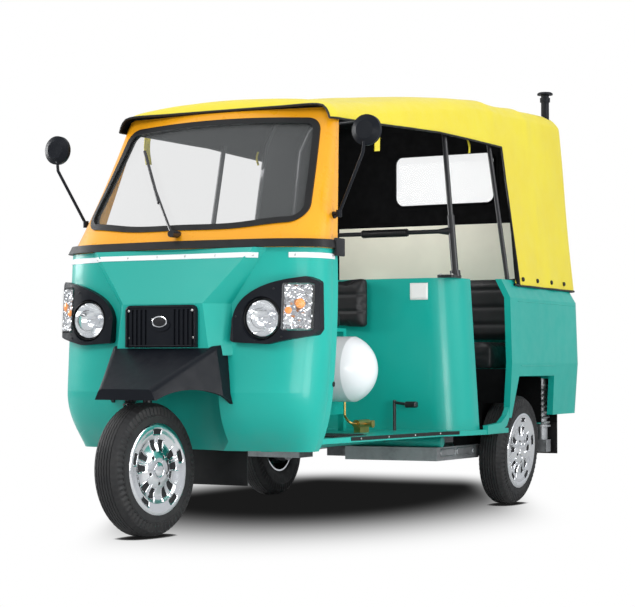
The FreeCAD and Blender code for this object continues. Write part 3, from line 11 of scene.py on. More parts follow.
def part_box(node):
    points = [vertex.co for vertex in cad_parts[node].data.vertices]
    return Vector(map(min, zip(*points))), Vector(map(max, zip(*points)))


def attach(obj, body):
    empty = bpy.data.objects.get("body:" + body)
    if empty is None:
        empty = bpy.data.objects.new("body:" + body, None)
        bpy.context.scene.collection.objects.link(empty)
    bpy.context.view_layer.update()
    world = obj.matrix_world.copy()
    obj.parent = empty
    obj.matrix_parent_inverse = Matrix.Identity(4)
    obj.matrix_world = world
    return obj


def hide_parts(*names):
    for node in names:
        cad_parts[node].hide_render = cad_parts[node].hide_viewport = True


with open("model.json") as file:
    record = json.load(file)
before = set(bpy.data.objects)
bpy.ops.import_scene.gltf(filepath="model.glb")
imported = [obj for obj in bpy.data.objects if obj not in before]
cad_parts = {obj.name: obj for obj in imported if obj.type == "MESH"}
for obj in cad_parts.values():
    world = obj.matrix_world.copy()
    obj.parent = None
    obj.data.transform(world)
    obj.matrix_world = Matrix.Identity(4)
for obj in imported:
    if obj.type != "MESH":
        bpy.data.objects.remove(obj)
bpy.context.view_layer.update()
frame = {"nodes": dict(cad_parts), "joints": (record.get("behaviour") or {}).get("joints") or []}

NODES = frame["nodes"]
ACROSS = Vector((1, 0, 0))
AHEAD = Vector((0, -1, 0))
UP = Vector((0, 0, 1))
SIDES = (-1, 1)
FLOOR = 0.345


# Materials
class Look:
    """A Principled material whose colour, roughness and bump come from procedural textures."""

    def __init__(self, name, colour, rough, **sockets):
        self.mat = bpy.data.materials.new(name)
        self.mat.use_nodes = True
        self.tree = self.mat.node_tree
        self.shader = self.tree.nodes["Principled BSDF"]
        self.normal = None
        self.set("Base Color", (*colour, 1))
        self.set("Roughness", rough)
        for key, value in sockets.items():
            self.set(key.replace("_", " "), value)
        self.place = self.node("ShaderNodeTexCoord").outputs["Object"]

    def set(self, socket, value):
        self.shader.inputs[socket].default_value = value

    def node(self, kind, **inputs):
        made = self.tree.nodes.new(kind)
        for key, value in inputs.items():
            made.inputs[key.replace("_", " ")].default_value = value
        return made

    def link(self, start, end):
        self.tree.links.new(start, end)

    def noise(self, scale, detail=3.0, stretch=(1, 1, 1), rough=0.5):
        mapping = self.node("ShaderNodeMapping", Scale=stretch)
        self.link(self.place, mapping.inputs["Vector"])
        made = self.node("ShaderNodeTexNoise", Scale=scale, Detail=detail, Roughness=rough)
        self.link(mapping.outputs["Vector"], made.inputs["Vector"])
        return made.outputs["Fac"]

    def cells(self, scale):
        made = self.node("ShaderNodeTexVoronoi", Scale=scale)
        self.link(self.place, made.inputs["Vector"])
        return made.outputs["Distance"]

    def wave(self, scale, axis):
        made = self.node("ShaderNodeTexWave", Scale=scale, Distortion=0.0)
        made.bands_direction = axis
        self.link(self.place, made.inputs["Vector"])
        return made.outputs["Fac"]

    def maths(self, first, second, how="MULTIPLY"):
        made = self.node("ShaderNodeMath")
        made.operation = how
        self.link(first, made.inputs[0])
        self.link(second, made.inputs[1])
        return made.outputs[0]

    def span(self, factor, start, end, low=0.0, high=1.0, kind="LINEAR"):
        """Maps a range of a factor to another range, held at its ends."""
        made = self.node("ShaderNodeMapRange", From_Min=start, From_Max=end, To_Min=low, To_Max=high)
        made.interpolation_type = kind
        self.link(factor, made.inputs["Value"])
        return made.outputs["Result"]

    def height(self):
        made = self.node("ShaderNodeSeparateXYZ")
        self.link(self.node("ShaderNodeNewGeometry").outputs["Position"], made.inputs[0])
        return made.outputs["Z"]

    def tint(self, factor, other):
        """Mixes another colour over the base by a factor."""
        made = self.node("ShaderNodeMix")
        made.data_type = "RGBA"
        base = self.shader.inputs["Base Color"]
        under, over = made.inputs[6], made.inputs[7]
        if base.is_linked:
            self.link(base.links[0].from_socket, under)
        else:
            under.default_value = base.default_value[:]
        over.default_value = (*other, 1)
        self.link(factor, made.inputs["Factor"])
        self.link(made.outputs[2], base)

    def vary(self, socket, factor, low, high):
        self.link(self.span(factor, 0.3, 0.7, low, high), self.shader.inputs[socket])

    def bump(self, height, distance, strength):
        """Adds relief on top of any that is there."""
        made = self.node("ShaderNodeBump", Strength=strength, Distance=distance)
        self.link(height, made.inputs["Height"])
        if self.normal:
            self.link(self.normal, made.inputs["Normal"])
        self.normal = made.outputs["Normal"]
        self.link(self.normal, self.shader.inputs["Normal"])


def paint(name, colour, other, rough=0.28, coat=0.6):
    """Gloss enamel: slow colour drift, faint orange peel and road dust low down."""
    look = Look(name, colour, rough, Coat_Weight=coat, Coat_Roughness=0.08, Specular_IOR_Level=0.35)
    look.tint(look.span(look.noise(2.2, 2), 0.35, 0.7), other)
    dust = look.maths(look.span(look.height(), 0.52, 0.26), look.noise(9, 5, rough=0.65))
    look.tint(look.span(dust, 0.25, 0.75, 0, 0.28), (0.16, 0.15, 0.12))
    look.vary("Roughness", look.noise(14, 4), rough - 0.04, rough + 0.08)
    look.bump(look.noise(260, 2), 0.0001, 0.25)
    return look


def moulded(name, colour, rough, grain=900, depth=0.00025):
    """Moulded plastic with a fine leathery grain."""
    look = Look(name, colour, rough, Specular_IOR_Level=0.32)
    look.tint(look.span(look.noise(6, 3), 0.35, 0.7, 0, 0.5), [value * 1.15 + 0.003 for value in colour])
    look.vary("Roughness", look.noise(22, 4), rough - 0.06, rough + 0.1)
    look.bump(look.cells(grain), depth, 0.5)
    return look


def metal(name, colour, rough, depth=0.0003, grime=0.3):
    """Bare or plated metal, darker where grime gathers."""
    look = Look(name, colour, rough, Metallic=1.0)
    look.tint(look.span(look.noise(11, 5, rough=0.7), 0.45, 0.8, 0, grime), [v * 0.4 for v in colour])
    look.vary("Roughness", look.noise(60, 4), rough - 0.05, rough + 0.14)
    look.bump(look.noise(180, 2), depth, 0.4)
    return look


def rubber(name, colour=(0.004, 0.004, 0.0045), rough=0.42, dust=(0.010, 0.010, 0.009)):
    """Black rubber with a film of dust."""
    look = Look(name, colour, rough, Specular_IOR_Level=0.38)
    look.tint(look.span(look.noise(16, 5, rough=0.65), 0.42, 0.75, 0, 0.6), dust)
    look.vary("Roughness", look.noise(40, 3), rough - 0.08, rough + 0.12)
    look.bump(look.noise(420, 3), 0.0003, 0.5)
    return look


def leathercloth(name, colour, rough=0.42, coat=0.12, gloss=0.3):
    """Grained vinyl sheet as on vehicle seats."""
    look = Look(name, colour, rough, Coat_Weight=coat, Coat_Roughness=0.35, Specular_IOR_Level=gloss)
    look.tint(look.span(look.noise(7, 4), 0.4, 0.75, 0, 0.5), [value * 1.6 + 0.002 for value in colour])
    look.vary("Roughness", look.noise(30, 4), rough - 0.07, rough + 0.12)
    look.bump(look.cells(520), 0.0006, 0.45)
    look.bump(look.noise(38, 4), 0.0012, 0.25)
    return look


def tarpaulin(name, colour, other, rough=0.5):
    """Coated canvas with a fine plain weave under the coat, and soft handling creases."""
    look = Look(name, colour, rough, Sheen_Weight=0.12, Sheen_Roughness=0.6)
    look.tint(look.span(look.noise(3.2, 4, rough=0.6), 0.36, 0.72, 0, 0.8), other)
    look.vary("Roughness", look.noise(18, 4), rough - 0.08, rough + 0.12)
    look.bump(look.maths(look.wave(420, "Y"), look.wave(420, "Z"), "ADD"), 0.0003, 0.3)
    look.bump(look.noise(6.5, 5, (1, 1.6, 0.7), 0.62), 0.012, 0.3)
    return look


def pane(name, colour, rough, alpha):
    """A thin clear or tinted sheet that keeps its gloss."""
    look = Look(name, colour, rough, Alpha=alpha)
    look.vary("Roughness", look.noise(8, 4), rough, rough + 0.04)
    return look


TEAL = paint("Teal enamel", (0.005, 0.375, 0.312), (0.008, 0.41, 0.340), 0.36, 0.15)
AMBER = paint("Amber enamel", (0.90, 0.375, 0.010), (0.92, 0.41, 0.014))
WHITE = paint("White enamel", (0.90, 0.92, 0.94), (0.86, 0.89, 0.92), 0.32, 0.3)
BRASS = metal("Drawn brass", (0.62, 0.40, 0.13), 0.34)
BLACK_STEEL = paint("Satin black enamel", (0.014, 0.014, 0.016), (0.02, 0.02, 0.022), 0.36, 0.25)
GREY_STEEL = metal("Pressed steel", (0.42, 0.43, 0.44), 0.46, grime=0.7)
CAST = metal("Cast metal", (0.30, 0.30, 0.31), 0.62, depth=0.001, grime=0.6)
CHROME = metal("Wheel chrome", (0.86, 0.87, 0.89), 0.09, grime=0.12, depth=0.0001)
MIRROR = metal("Reflector chrome", (0.93, 0.94, 0.95), 0.06, grime=0.02, depth=0.00005)
CHARCOAL = moulded("Charcoal plastic", (0.006, 0.0075, 0.011), 0.36)
CHARCOAL.set("Specular IOR Level", 0.16)
DARK = moulded("Black plastic", (0.012, 0.012, 0.014), 0.42)
BEIGE = moulded("Beige plastic", (0.93, 0.88, 0.74), 0.5, 500)
PAPER = moulded("White sticker", (0.82, 0.82, 0.80), 0.45, 400, 0.0001)
RUBBER = rubber("Black rubber")
TYRE = rubber("Tyre rubber", (0.016, 0.016, 0.017), 0.6, (0.035, 0.034, 0.032))
VINYL = leathercloth("Black vinyl", (0.013, 0.013, 0.014))
# Black lining, partly painted shade: a much darker copy of the black vinyl, so that the canopy's inside
# and the plates it covers read as shaded
LINING_DARKENED_AS_SHADE = leathercloth("Black lining darkened as shade", (0.0022, 0.0022, 0.0025), 0.8, 0.0, 0.12)
CANVAS = tarpaulin("Yellow tarpaulin", (0.84, 0.71, 0.016), (0.80, 0.64, 0.012))
GLASS = pane("Tinted glass", (0.30, 0.31, 0.31), 0.02, 0.16)
FILM = pane("Clear film", (0.80, 0.83, 0.85), 0.06, 0.13)
LENS = pane("Clear lens", (0.9, 0.92, 0.93), 0.02, 0.07)
AMBER_BULB = Look("Amber bulb", (0.95, 0.30, 0.02), 0.15, Coat_Weight=0.5)
AMBER_BULB.vary("Roughness", AMBER_BULB.noise(60), 0.1, 0.2)
RED = Look("Red lens", (0.55, 0.008, 0.008), 0.14, Coat_Weight=0.6)
RED.bump(RED.wave(60, "X"), 0.001, 0.6)
FACETS = metal("Facetted chrome", (0.55, 0.56, 0.58), 0.12, grime=0.1, depth=0.0001)
FACETS.bump(FACETS.cells(46), 0.02, 1.0)
BOLT = metal("Zinc bolts", (0.66, 0.66, 0.64), 0.3, grime=0.3)

# The first look of a slot dresses the CAD's nodes, and every look keeps its slot's name
SLOT_LOOKS = {
    "teal_paint": [TEAL], "amber_paint": [AMBER], "white_paint": [WHITE, PAPER], "brass": [BRASS],
    "black_steel": [BLACK_STEEL], "grey_steel": [GREY_STEEL, BOLT], "cast_metal": [CAST],
    "wheel_chrome": [CHROME], "lamp_reflector": [MIRROR, FACETS], "lamp_plastic": [LENS],
    "red_plastic": [RED, AMBER_BULB], "black_plastic": [CHARCOAL, DARK], "beige_plastic": [BEIGE],
    "black_rubber": [RUBBER], "tyre": [TYRE], "tinted_glass": [GLASS], "clear_film": [FILM],
    "black_vinyl": [VINYL, LINING_DARKENED_AS_SHADE], "yellow_fabric": [CANVAS],
}
for slot_name, slot_looks in SLOT_LOOKS.items():
    for added in slot_looks:
        added.slot = slot_name
for node in NODES.values():
    for index, old in enumerate(node.data.materials):
        node.data.materials[index] = SLOT_LOOKS[old.name][0].mat
    node.data.shade_smooth()


# Mesh building
class Solid:
    """Gathers lathes, tubes, blocks and strips in one mesh."""

    def __init__(self):
        self.bm = bmesh.new()

    def grid(self, rows, closed_across=False, closed_along=False):
        """Faces between rows of points."""
        made = [[self.bm.verts.new(point) for point in row] for row in rows]
        across = len(made[0]) - (0 if closed_across else 1)
        along = len(made) - (0 if closed_along else 1)
        for i in range(along):
            first, last = made[i], made[(i + 1) % len(made)]
            for j in range(across):
                k = (j + 1) % len(made[0])
                self.bm.faces.new([first[j], first[k], last[k], last[j]])
        return made

    def lathe(self, profile, at, axis, segments=32, ends="cap"):
        """Turns a profile of (radius, height) pairs about an axis: capped, open or a ring."""
        spin = Vector(axis).normalized().to_track_quat("Z", "Y").to_matrix()
        at = Vector(at)
        rows = []
        for radius, height in profile:
            turns = [math.tau * index / segments for index in range(segments)]
            rows.append([at + spin @ Vector((radius * math.cos(turn), radius * math.sin(turn), height))
                         for turn in turns])
        made = self.grid(rows, closed_across=True, closed_along=ends == "ring")
        for row, (radius, _) in ((made[0], profile[0]), (made[-1], profile[-1])):
            if radius < 1e-5:
                bmesh.ops.remove_doubles(self.bm, verts=row, dist=1e-5)
            elif ends == "cap":
                self.bm.faces.new(row)
        return self

    def tube(self, path, radius, segments=10, closed=False):
        """A round bar along a path of points."""
        path = [Vector(point) for point in path]
        count = len(path)
        rows = []
        side = None
        for index, point in enumerate(path):
            before = path[index - 1] if closed or index else point
            after = path[(index + 1) % count] if closed or index < count - 1 else point
            ahead = (after - before).normalized()
            if side is None:
                side = ahead.orthogonal().normalized()
            side = (side - ahead * side.dot(ahead)).normalized()
            other = ahead.cross(side)
            rows.append([point + (side * math.cos(turn) + other * math.sin(turn)) * radius
                         for turn in [math.tau * k / segments for k in range(segments)]])
        made = self.grid(rows, closed_across=True, closed_along=closed)
        if not closed:
            self.bm.faces.new(made[0])
            self.bm.faces.new(made[-1])
        return self

    def block(self, start, end, bevel):
        """A block between two opposite corners, with its edges eased."""
        low, high = [Vector([pick(pair) for pair in zip(start, end)]) for pick in (min, max)]
        made = bmesh.ops.create_cube(self.bm, size=1)["verts"]
        for vert in made:
            vert.co = Vector([a + (b - a) * (c + 0.5) for a, b, c in zip(low, high, vert.co)])
        edges = list({edge for vert in made for edge in vert.link_edges})
        bmesh.ops.bevel(self.bm, geom=edges, offset=bevel, segments=2, profile=0.6, affect="EDGES")
        return self

    def strip(self, places, width, thick):
        """A flat bar along (point, normal) places, standing off them by its thickness."""
        points = [point for point, _ in places]
        rows = []
        for index, (point, normal) in enumerate(places):
            ahead = (points[min(index + 1, len(points) - 1)] - points[max(index - 1, 0)]).normalized()
            across = normal.cross(ahead).normalized() * width / 2
            edge = min(thick * 0.5, width * 0.2)
            inner = across * (1 - edge / (width / 2))
            rows.append([point - across, point - across + normal * (thick - edge),
                         point - inner + normal * thick, point + inner + normal * thick,
                         point + across + normal * (thick - edge), point + across])
        made = self.grid(rows, closed_across=True)
        self.bm.faces.new(made[0])
        self.bm.faces.new(made[-1])

    def done(self, name, look, body="body", smooth=35, slot=None, stands_for=()):
        """Closes the mesh, gives it its finish and lets it ride on its body."""
        bmesh.ops.recalc_face_normals(self.bm, faces=self.bm.faces)
        mesh = bpy.data.meshes.new(name)
        self.bm.to_mesh(mesh)
        self.bm.free()
        piece = added_object(name, mesh)
        mesh.materials.append(look.mat)
        mesh.shade_smooth()
        mesh.set_sharp_from_angle(angle=math.radians(smooth))
        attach(piece, body)
        if stands_for:
            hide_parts(*stands_for)
        return piece


def added_object(name, data):
    """A new object in the scene."""
    made = bpy.data.objects.new(name, data)
    bpy.context.scene.collection.objects.link(made)
    return made


def solids(count):
    return [Solid() for _ in range(count)]


class Skin:
    """A CAD node's surface, to lay trim on."""

    def __init__(self, name):
        node = NODES[name]
        self.tree = BVHTree.FromPolygons([v.co for v in node.data.vertices],
                                         [p.vertices for p in node.data.polygons])

    def hits(self, origins, direction, lift=0.0):
        """(point, normal) where parallel rays meet the surface, lifted off it."""
        direction = Vector(direction).normalized()
        found = []
        for origin in origins:
            point, normal, _, _ = self.tree.ray_cast(Vector(origin), direction)
            if point is not None:
                normal = -normal if normal.dot(direction) > 0 else normal
                found.append((point + normal * lift, normal))
        return found

    def beside(self, side, places, lift=0.0):
        """Hits from one side of the vehicle at (y, z) places."""
        return self.hits([(side * 2, y, z) for y, z in places], (-side, 0, 0), lift)

    def before(self, places, lift=0.0):
        """Hits from in front of the vehicle at (x, z) places."""
        return self.hits([(x, -2, z) for x, z in places], (0, 1, 0), lift)

    def behind(self, places, lift=0.0):
        """Hits from behind the vehicle at (x, z) places."""
        return self.hits([(x, 3, z) for x, z in places], (0, -1, 0), lift)


def steps(start, end, count):
    return [start + (end - start) * index / (count - 1) for index in range(count)]


def clamp(value):
    return max(0.0, min(1.0, value))


def lookup(value, xs, ys):
    return float(np.interp(value, xs, ys))


def catmull_rom(a, b, c, d, t):
    """Between b and c, with a and d as their neighbours."""
    return 0.5 * (2 * b + (c - a) * t + (2 * a - 5 * b + 4 * c - d) * t * t
                  + (3 * b - a - 3 * c + d) * t ** 3)


def smooth_path(points, per):
    """A curve through points, with a number of steps to each."""
    points = [Vector(point) for point in points]
    padded = [points[0] * 2 - points[1]] + points + [points[-1] * 2 - points[-2]]
    return [catmull_rom(*four, index / per) for four in zip(padded, padded[1:], padded[2:], padded[3:])
            for index in range(per)] + [points[-1]]


def oval(centre, wide, tall, count=40):
    return [centre + ACROSS * (wide * math.cos(turn)) + UP * (tall * math.sin(turn))
            for turn in [math.tau * k / count for k in range(count)]]


def rounded(centre, wide, tall, corner, per=7, across=ACROSS):
    """A closed rounded rectangle of points, given by its half sizes."""
    points = []
    for sx, sz, start in ((1, 1, 0), (-1, 1, 90), (-1, -1, 180), (1, -1, 270)):
        for turn in [math.radians(angle) for angle in steps(start, start + 90, per)]:
            points.append(centre + across * (sx * (wide - corner) + corner * math.cos(turn))
                          + UP * (sz * (tall - corner) + corner * math.sin(turn)))
    return points


def screws(solid, places, radius=0.004):
    """Pan-head screws standing on a surface at (point, normal) places."""
    for point, normal in places:
        solid.lathe([(radius, -0.001), (radius, 0.000875), (radius * 0.8, 0.002),
                     (radius * 0.42, 0.0025), (radius * 0.3, 0.00125), (0, 0.001125)],
                    point, normal, 14)


def bolts(solid, places, radius=0.006, high=0.005):
    """Hexagon bolt heads on their washers."""
    for point, normal in places:
        solid.lathe([(radius * 1.5, -0.001), (radius * 1.5, 0.0015), (radius * 0.9, 0.0016)],
                    point, normal, 20)
        solid.lathe([(radius, 0.001), (radius, high * 0.85), (radius * 0.85, high), (0, high)],
                    point, normal, 6)


# Camera, floor and light
VIEW_TURN = 27.4
FLOOR_HALF = 30
# Painted shadow on the floor under the vehicle: centre, turn and half sizes of its ellipse
SHADE_CENTRE = (-0.793, 1.576, 0)
SHADE_TURN = 21.4
SHADE_SIZE = (1.666, 3.864, 1)
SHADE_FADES = (
    # turn, axis, where the shade begins to fade, where it ends
    (VIEW_TURN, "X", -0.62, -0.86), (VIEW_TURN, "X", 0.76, 1.12),
    (0, "Y", 1.65, 2.90), (0, "X", -0.80, -1.60),
)
LIGHTS = (
    # name, place, aim, width, height, watts
    ("Key softbox", (-1.2, -5.5, 4.2), (0, -0.4, 0.8), 3.0, 2.0, 125),
    ("Side softbox", (5.5, 0.2, 3.0), (0, 0.2, 0.9), 3.0, 2.4, 125),
    ("Low softbox", (4.2, -4.4, 1.0), (0.2, 0.8, 1.1), 2.2, 1.4, 60),
    ("Cab softbox", (-0.30, 0.66, 1.60), (-0.25, 1.41, 1.10), 0.9, 0.25, 5.8),
    ("Sill softbox", (1.6, -1.3, 0.60), (0.35, -0.25, 0.55), 0.5, 0.4, 5.0),
    ("Left softbox", (-3.2, -0.9, 1.9), (0.2, 1.4, 1.12), 1.6, 1.4, 80),
    ("Top softbox", (0.2, 0.6, 5.2), (0, 0.3, 1.0), 4.0, 4.0, 45),
)


def camera():
    data = bpy.data.cameras.new("Camera")
    data.sensor_width = 36
    data.lens = 101.25
    data.clip_end = 60
    made = added_object("Camera", data)
    made.location = (3.50, -6.66, 0.62)
    made.rotation_euler = (math.radians(91.93), 0, math.radians(VIEW_TURN))
    bpy.context.scene.camera = made


def contact_shade(look):
    """Painted contact shadow: dark where the sky is hidden close by, as under a tyre."""
    open_sky = look.node("ShaderNodeAmbientOcclusion", Distance=0.05)
    open_sky.samples = 24
    ramp = look.node("ShaderNodeValToRGB")
    ramp.color_ramp.interpolation = "EASE"
    stops = ramp.color_ramp.elements
    stops.new(0.58)
    for stop, place, grey in zip(stops, (0.25, 0.58, 0.90), (0.010, 0.05, 1)):
        stop.position = place
        stop.color = (grey, grey, grey, 1)
    look.link(open_sky.outputs["AO"], ramp.inputs[0])
    return ramp.outputs[0]


def wide_shade(look):
    """The soft dark patch that the vehicle throws on the floor, painted as a shadow into the floor as the
    camera sees it.
    """
    def turned(angle, at=(0, 0, 0), scale=(1, 1, 1)):
        mapping = look.node("ShaderNodeMapping", Location=at, Scale=scale,
                            Rotation=(0, 0, math.radians(angle)))
        mapping.vector_type = "TEXTURE"
        look.link(look.place, mapping.inputs["Vector"])
        return mapping.outputs[0]

    reach = look.node("ShaderNodeVectorMath")
    reach.operation = "LENGTH"
    look.link(turned(SHADE_TURN, SHADE_CENTRE, SHADE_SIZE), reach.inputs[0])
    shade = look.span(reach.outputs["Value"], 0.449, 1.0, 1.0, 0.0, "SMOOTHERSTEP")
    for angle, axis, start, end in SHADE_FADES:
        apart = look.node("ShaderNodeSeparateXYZ")
        look.link(turned(angle), apart.inputs[0])
        shade = look.maths(shade, look.span(apart.outputs[axis], start, end, 1.0, 0.0, "SMOOTHERSTEP"))
    return look.span(shade, 0, 1, 1.0, 0.011)


def white_floor():
    """The photograph's white ground: the camera sees its painted shadow, light sees a pale floor."""
    mesh = bpy.data.meshes.new("Floor")
    mesh.from_pydata([(x * FLOOR_HALF, y * FLOOR_HALF, 0) for x, y in
                      ((-1, -1), (1, -1), (1, 1), (-1, 1))], [], [(0, 1, 2, 3)])
    added_object("Floor", mesh)
    look = Look("Pale floor", (0.60, 0.60, 0.60), 0.9, Specular_IOR_Level=0.05)
    shown = look.node("ShaderNodeEmission")
    look.link(look.maths(contact_shade(look), wide_shade(look), "MINIMUM"), shown.inputs["Strength"])
    mixed = look.node("ShaderNodeMixShader")
    look.link(look.node("ShaderNodeLightPath").outputs["Is Camera Ray"], mixed.inputs[0])
    look.link(look.shader.outputs[0], mixed.inputs[1])
    look.link(shown.outputs[0], mixed.inputs[2])
    look.link(mixed.outputs[0], look.tree.nodes["Material Output"].inputs["Surface"])
    mesh.materials.append(look.mat)


def white_world():
    """White to the camera and through glass, and a softer sky as light."""
    world = bpy.data.worlds.new("Studio")
    bpy.context.scene.world = world
    world.use_nodes = True
    tree = world.node_tree
    white = tree.nodes["Background"]
    sky = tree.nodes.new("ShaderNodeBackground")
    for shader, colour, strength in ((white, (1, 1, 1, 1), 1.0), (sky, (0.93, 0.96, 1, 1), 0.62)):
        shader.inputs["Color"].default_value = colour
        shader.inputs["Strength"].default_value = strength
    path = tree.nodes.new("ShaderNodeLightPath")
    most = tree.nodes.new("ShaderNodeMath")
    most.operation = "MAXIMUM"
    mixed = tree.nodes.new("ShaderNodeMixShader")
    for start, end in ((path.outputs["Is Camera Ray"], most.inputs[0]),
                       (path.outputs["Is Transmission Ray"], most.inputs[1]),
                       (most.outputs[0], mixed.inputs[0]), (sky.outputs[0], mixed.inputs[1]),
                       (white.outputs[0], mixed.inputs[2]),
                       (mixed.outputs[0], tree.nodes["World Output"].inputs["Surface"])):
        tree.links.new(start, end)


def area_light(name, at, target, width, height, power):
    data = bpy.data.lights.new(name, "AREA")
    data.shape = "RECTANGLE"
    data.size = width
    data.size_y = height
    data.energy = power
    made = added_object(name, data)
    made.location = at
    made.rotation_euler = (Vector(target) - Vector(at)).to_track_quat("-Z", "Y").to_euler()


def studio():
    camera()
    white_floor()
    white_world()
    for light in LIGHTS:
        area_light(*light)
    bpy.context.scene.view_settings.view_transform = "Standard"


# Canopy
HOOD_STATIONS = (
    # place, top, half width at the shoulder
    (-0.636, 1.650, 0.497), (0.200, 1.762, 0.558), (0.640, 1.811, 0.584),
    (1.010, 1.822, 0.602), (1.398, 1.834, 0.618),
)
NOSE_END = HOOD_STATIONS[0][0]
TURN_START = HOOD_STATIONS[-1][0]
HOOD_FRONT = -0.716
HOOD_BACK = 1.460
HEM_HALF = 0.683
HEM_LOW = 0.962
DOOR_TOP = 1.576
DOOR_BACK = 0.700
DOOR_LEAN = 0.1429
BOWS = (0.640, 1.010)
# Half of the front edge, from hem to crown and beyond: the windshield frame's outline, lapped
HOOD_FRONT_EDGE = ((0.585634, HEM_LOW), (0.486, 1.484), (0.472, 1.536), (0.45384, 1.57984),
                   (0.410, 1.598), (0.246, 1.5984), (0, 1.5986), (-0.246, 1.5984))
WINDOW_HALF = 0.272
WINDOW_TOP = 1.66
CLOTH = 0.003


def eased(y, column):
    """A smooth curve through one column of the canopy's stations."""
    ys = [row[0] for row in HOOD_STATIONS]
    vs = [row[column] for row in HOOD_STATIONS]
    index = min(max(int(np.searchsorted(ys, y)) - 1, 0), len(ys) - 2)
    return catmull_rom(vs[max(index - 1, 0)], vs[index], vs[index + 1], vs[min(index + 2, len(vs) - 1)],
                       (y - ys[index]) / (ys[index + 1] - ys[index]))


def hood_section(y):
    """Half of a transverse section from hem to crown, as a fine polyline of (x, z)."""
    along = min(max(y, NOSE_END), TURN_START)
    turn = max(0.0, (y - TURN_START) / (HOOD_BACK - TURN_START))
    drop = (1 - math.sqrt(max(0.0, 1 - turn ** 2))) * 0.046
    top, half = eased(along, 1) - drop, eased(along, 2) - drop
    knots = [(HEM_HALF - drop, HEM_LOW), (half, top - 0.145), (half - 0.012, top - 0.085),
             (half - 0.062, top - 0.038), (half * 0.7, top - 0.0205), (half * 0.42, top - 0.0075),
             (0, top), (-half * 0.42, top - 0.0075)]
    reach = clamp((y - HOOD_FRONT) / (NOSE_END - HOOD_FRONT))
    if reach < 1:
        rise = 1 - (1 - reach) ** 2.5
        knots = [(a + (c - a) * rise, b + (d - b) * rise)
                 for (a, b), (c, d) in zip(HOOD_FRONT_EDGE, knots)]
    (foot, _), (shoulder, bend) = knots[:2]
    side = [(foot + (shoulder - foot) * t, HEM_LOW + (bend - HEM_LOW) * t) for t in steps(0, 1, 40)]
    curve = smooth_path([(x, 0, z) for x, z in knots], 14)[14:-14]
    return np.array(side + [(p.x, p.z) for p in curve[1:]])


def arc_shares(line):
    """How far along its length each point of a line lies, from nothing to one."""
    run = np.concatenate([[0], np.cumsum(np.hypot(*np.diff(line, axis=0).T))])
    return run / run[-1]


def hood_edge(y):
    """Height of the canopy's side edge along the door opening."""
    return 1.5435 + (DOOR_TOP - 1.5435) * min(1, (y - HOOD_FRONT) / 0.826)


def hood_fold(point):
    """How far the cloth stands off its mean form: bow creases, sag between them, soft wrinkles."""
    x, y, z = point
    off = 0.0
    top = clamp((z - 1.60) / 0.12)
    for bow in BOWS:
        off += 0.006 * math.exp(-((y - bow) / 0.022) ** 2) * (0.35 + 0.65 * top)
    if y > BOWS[0]:
        off -= 0.006 * math.sin(math.pi * min(1, (y - BOWS[0]) / (BOWS[1] - BOWS[0]))) ** 2 * top
    off += 0.0035 * noise.noise(Vector((x * 3.1, y * 4.3, z * 2.2)))
    off += 0.0018 * noise.noise(Vector((x * 9, y * 13, z * 5)) + Vector((7, 3, 1)))
    side = clamp((1.62 - z) / 0.25)
    off += 0.003 * side * math.sin(y * 24 + z * 6) * max(0.0, 1 - (z - HEM_LOW) / 0.5)
    return off * clamp((y - HOOD_FRONT) / 0.12)


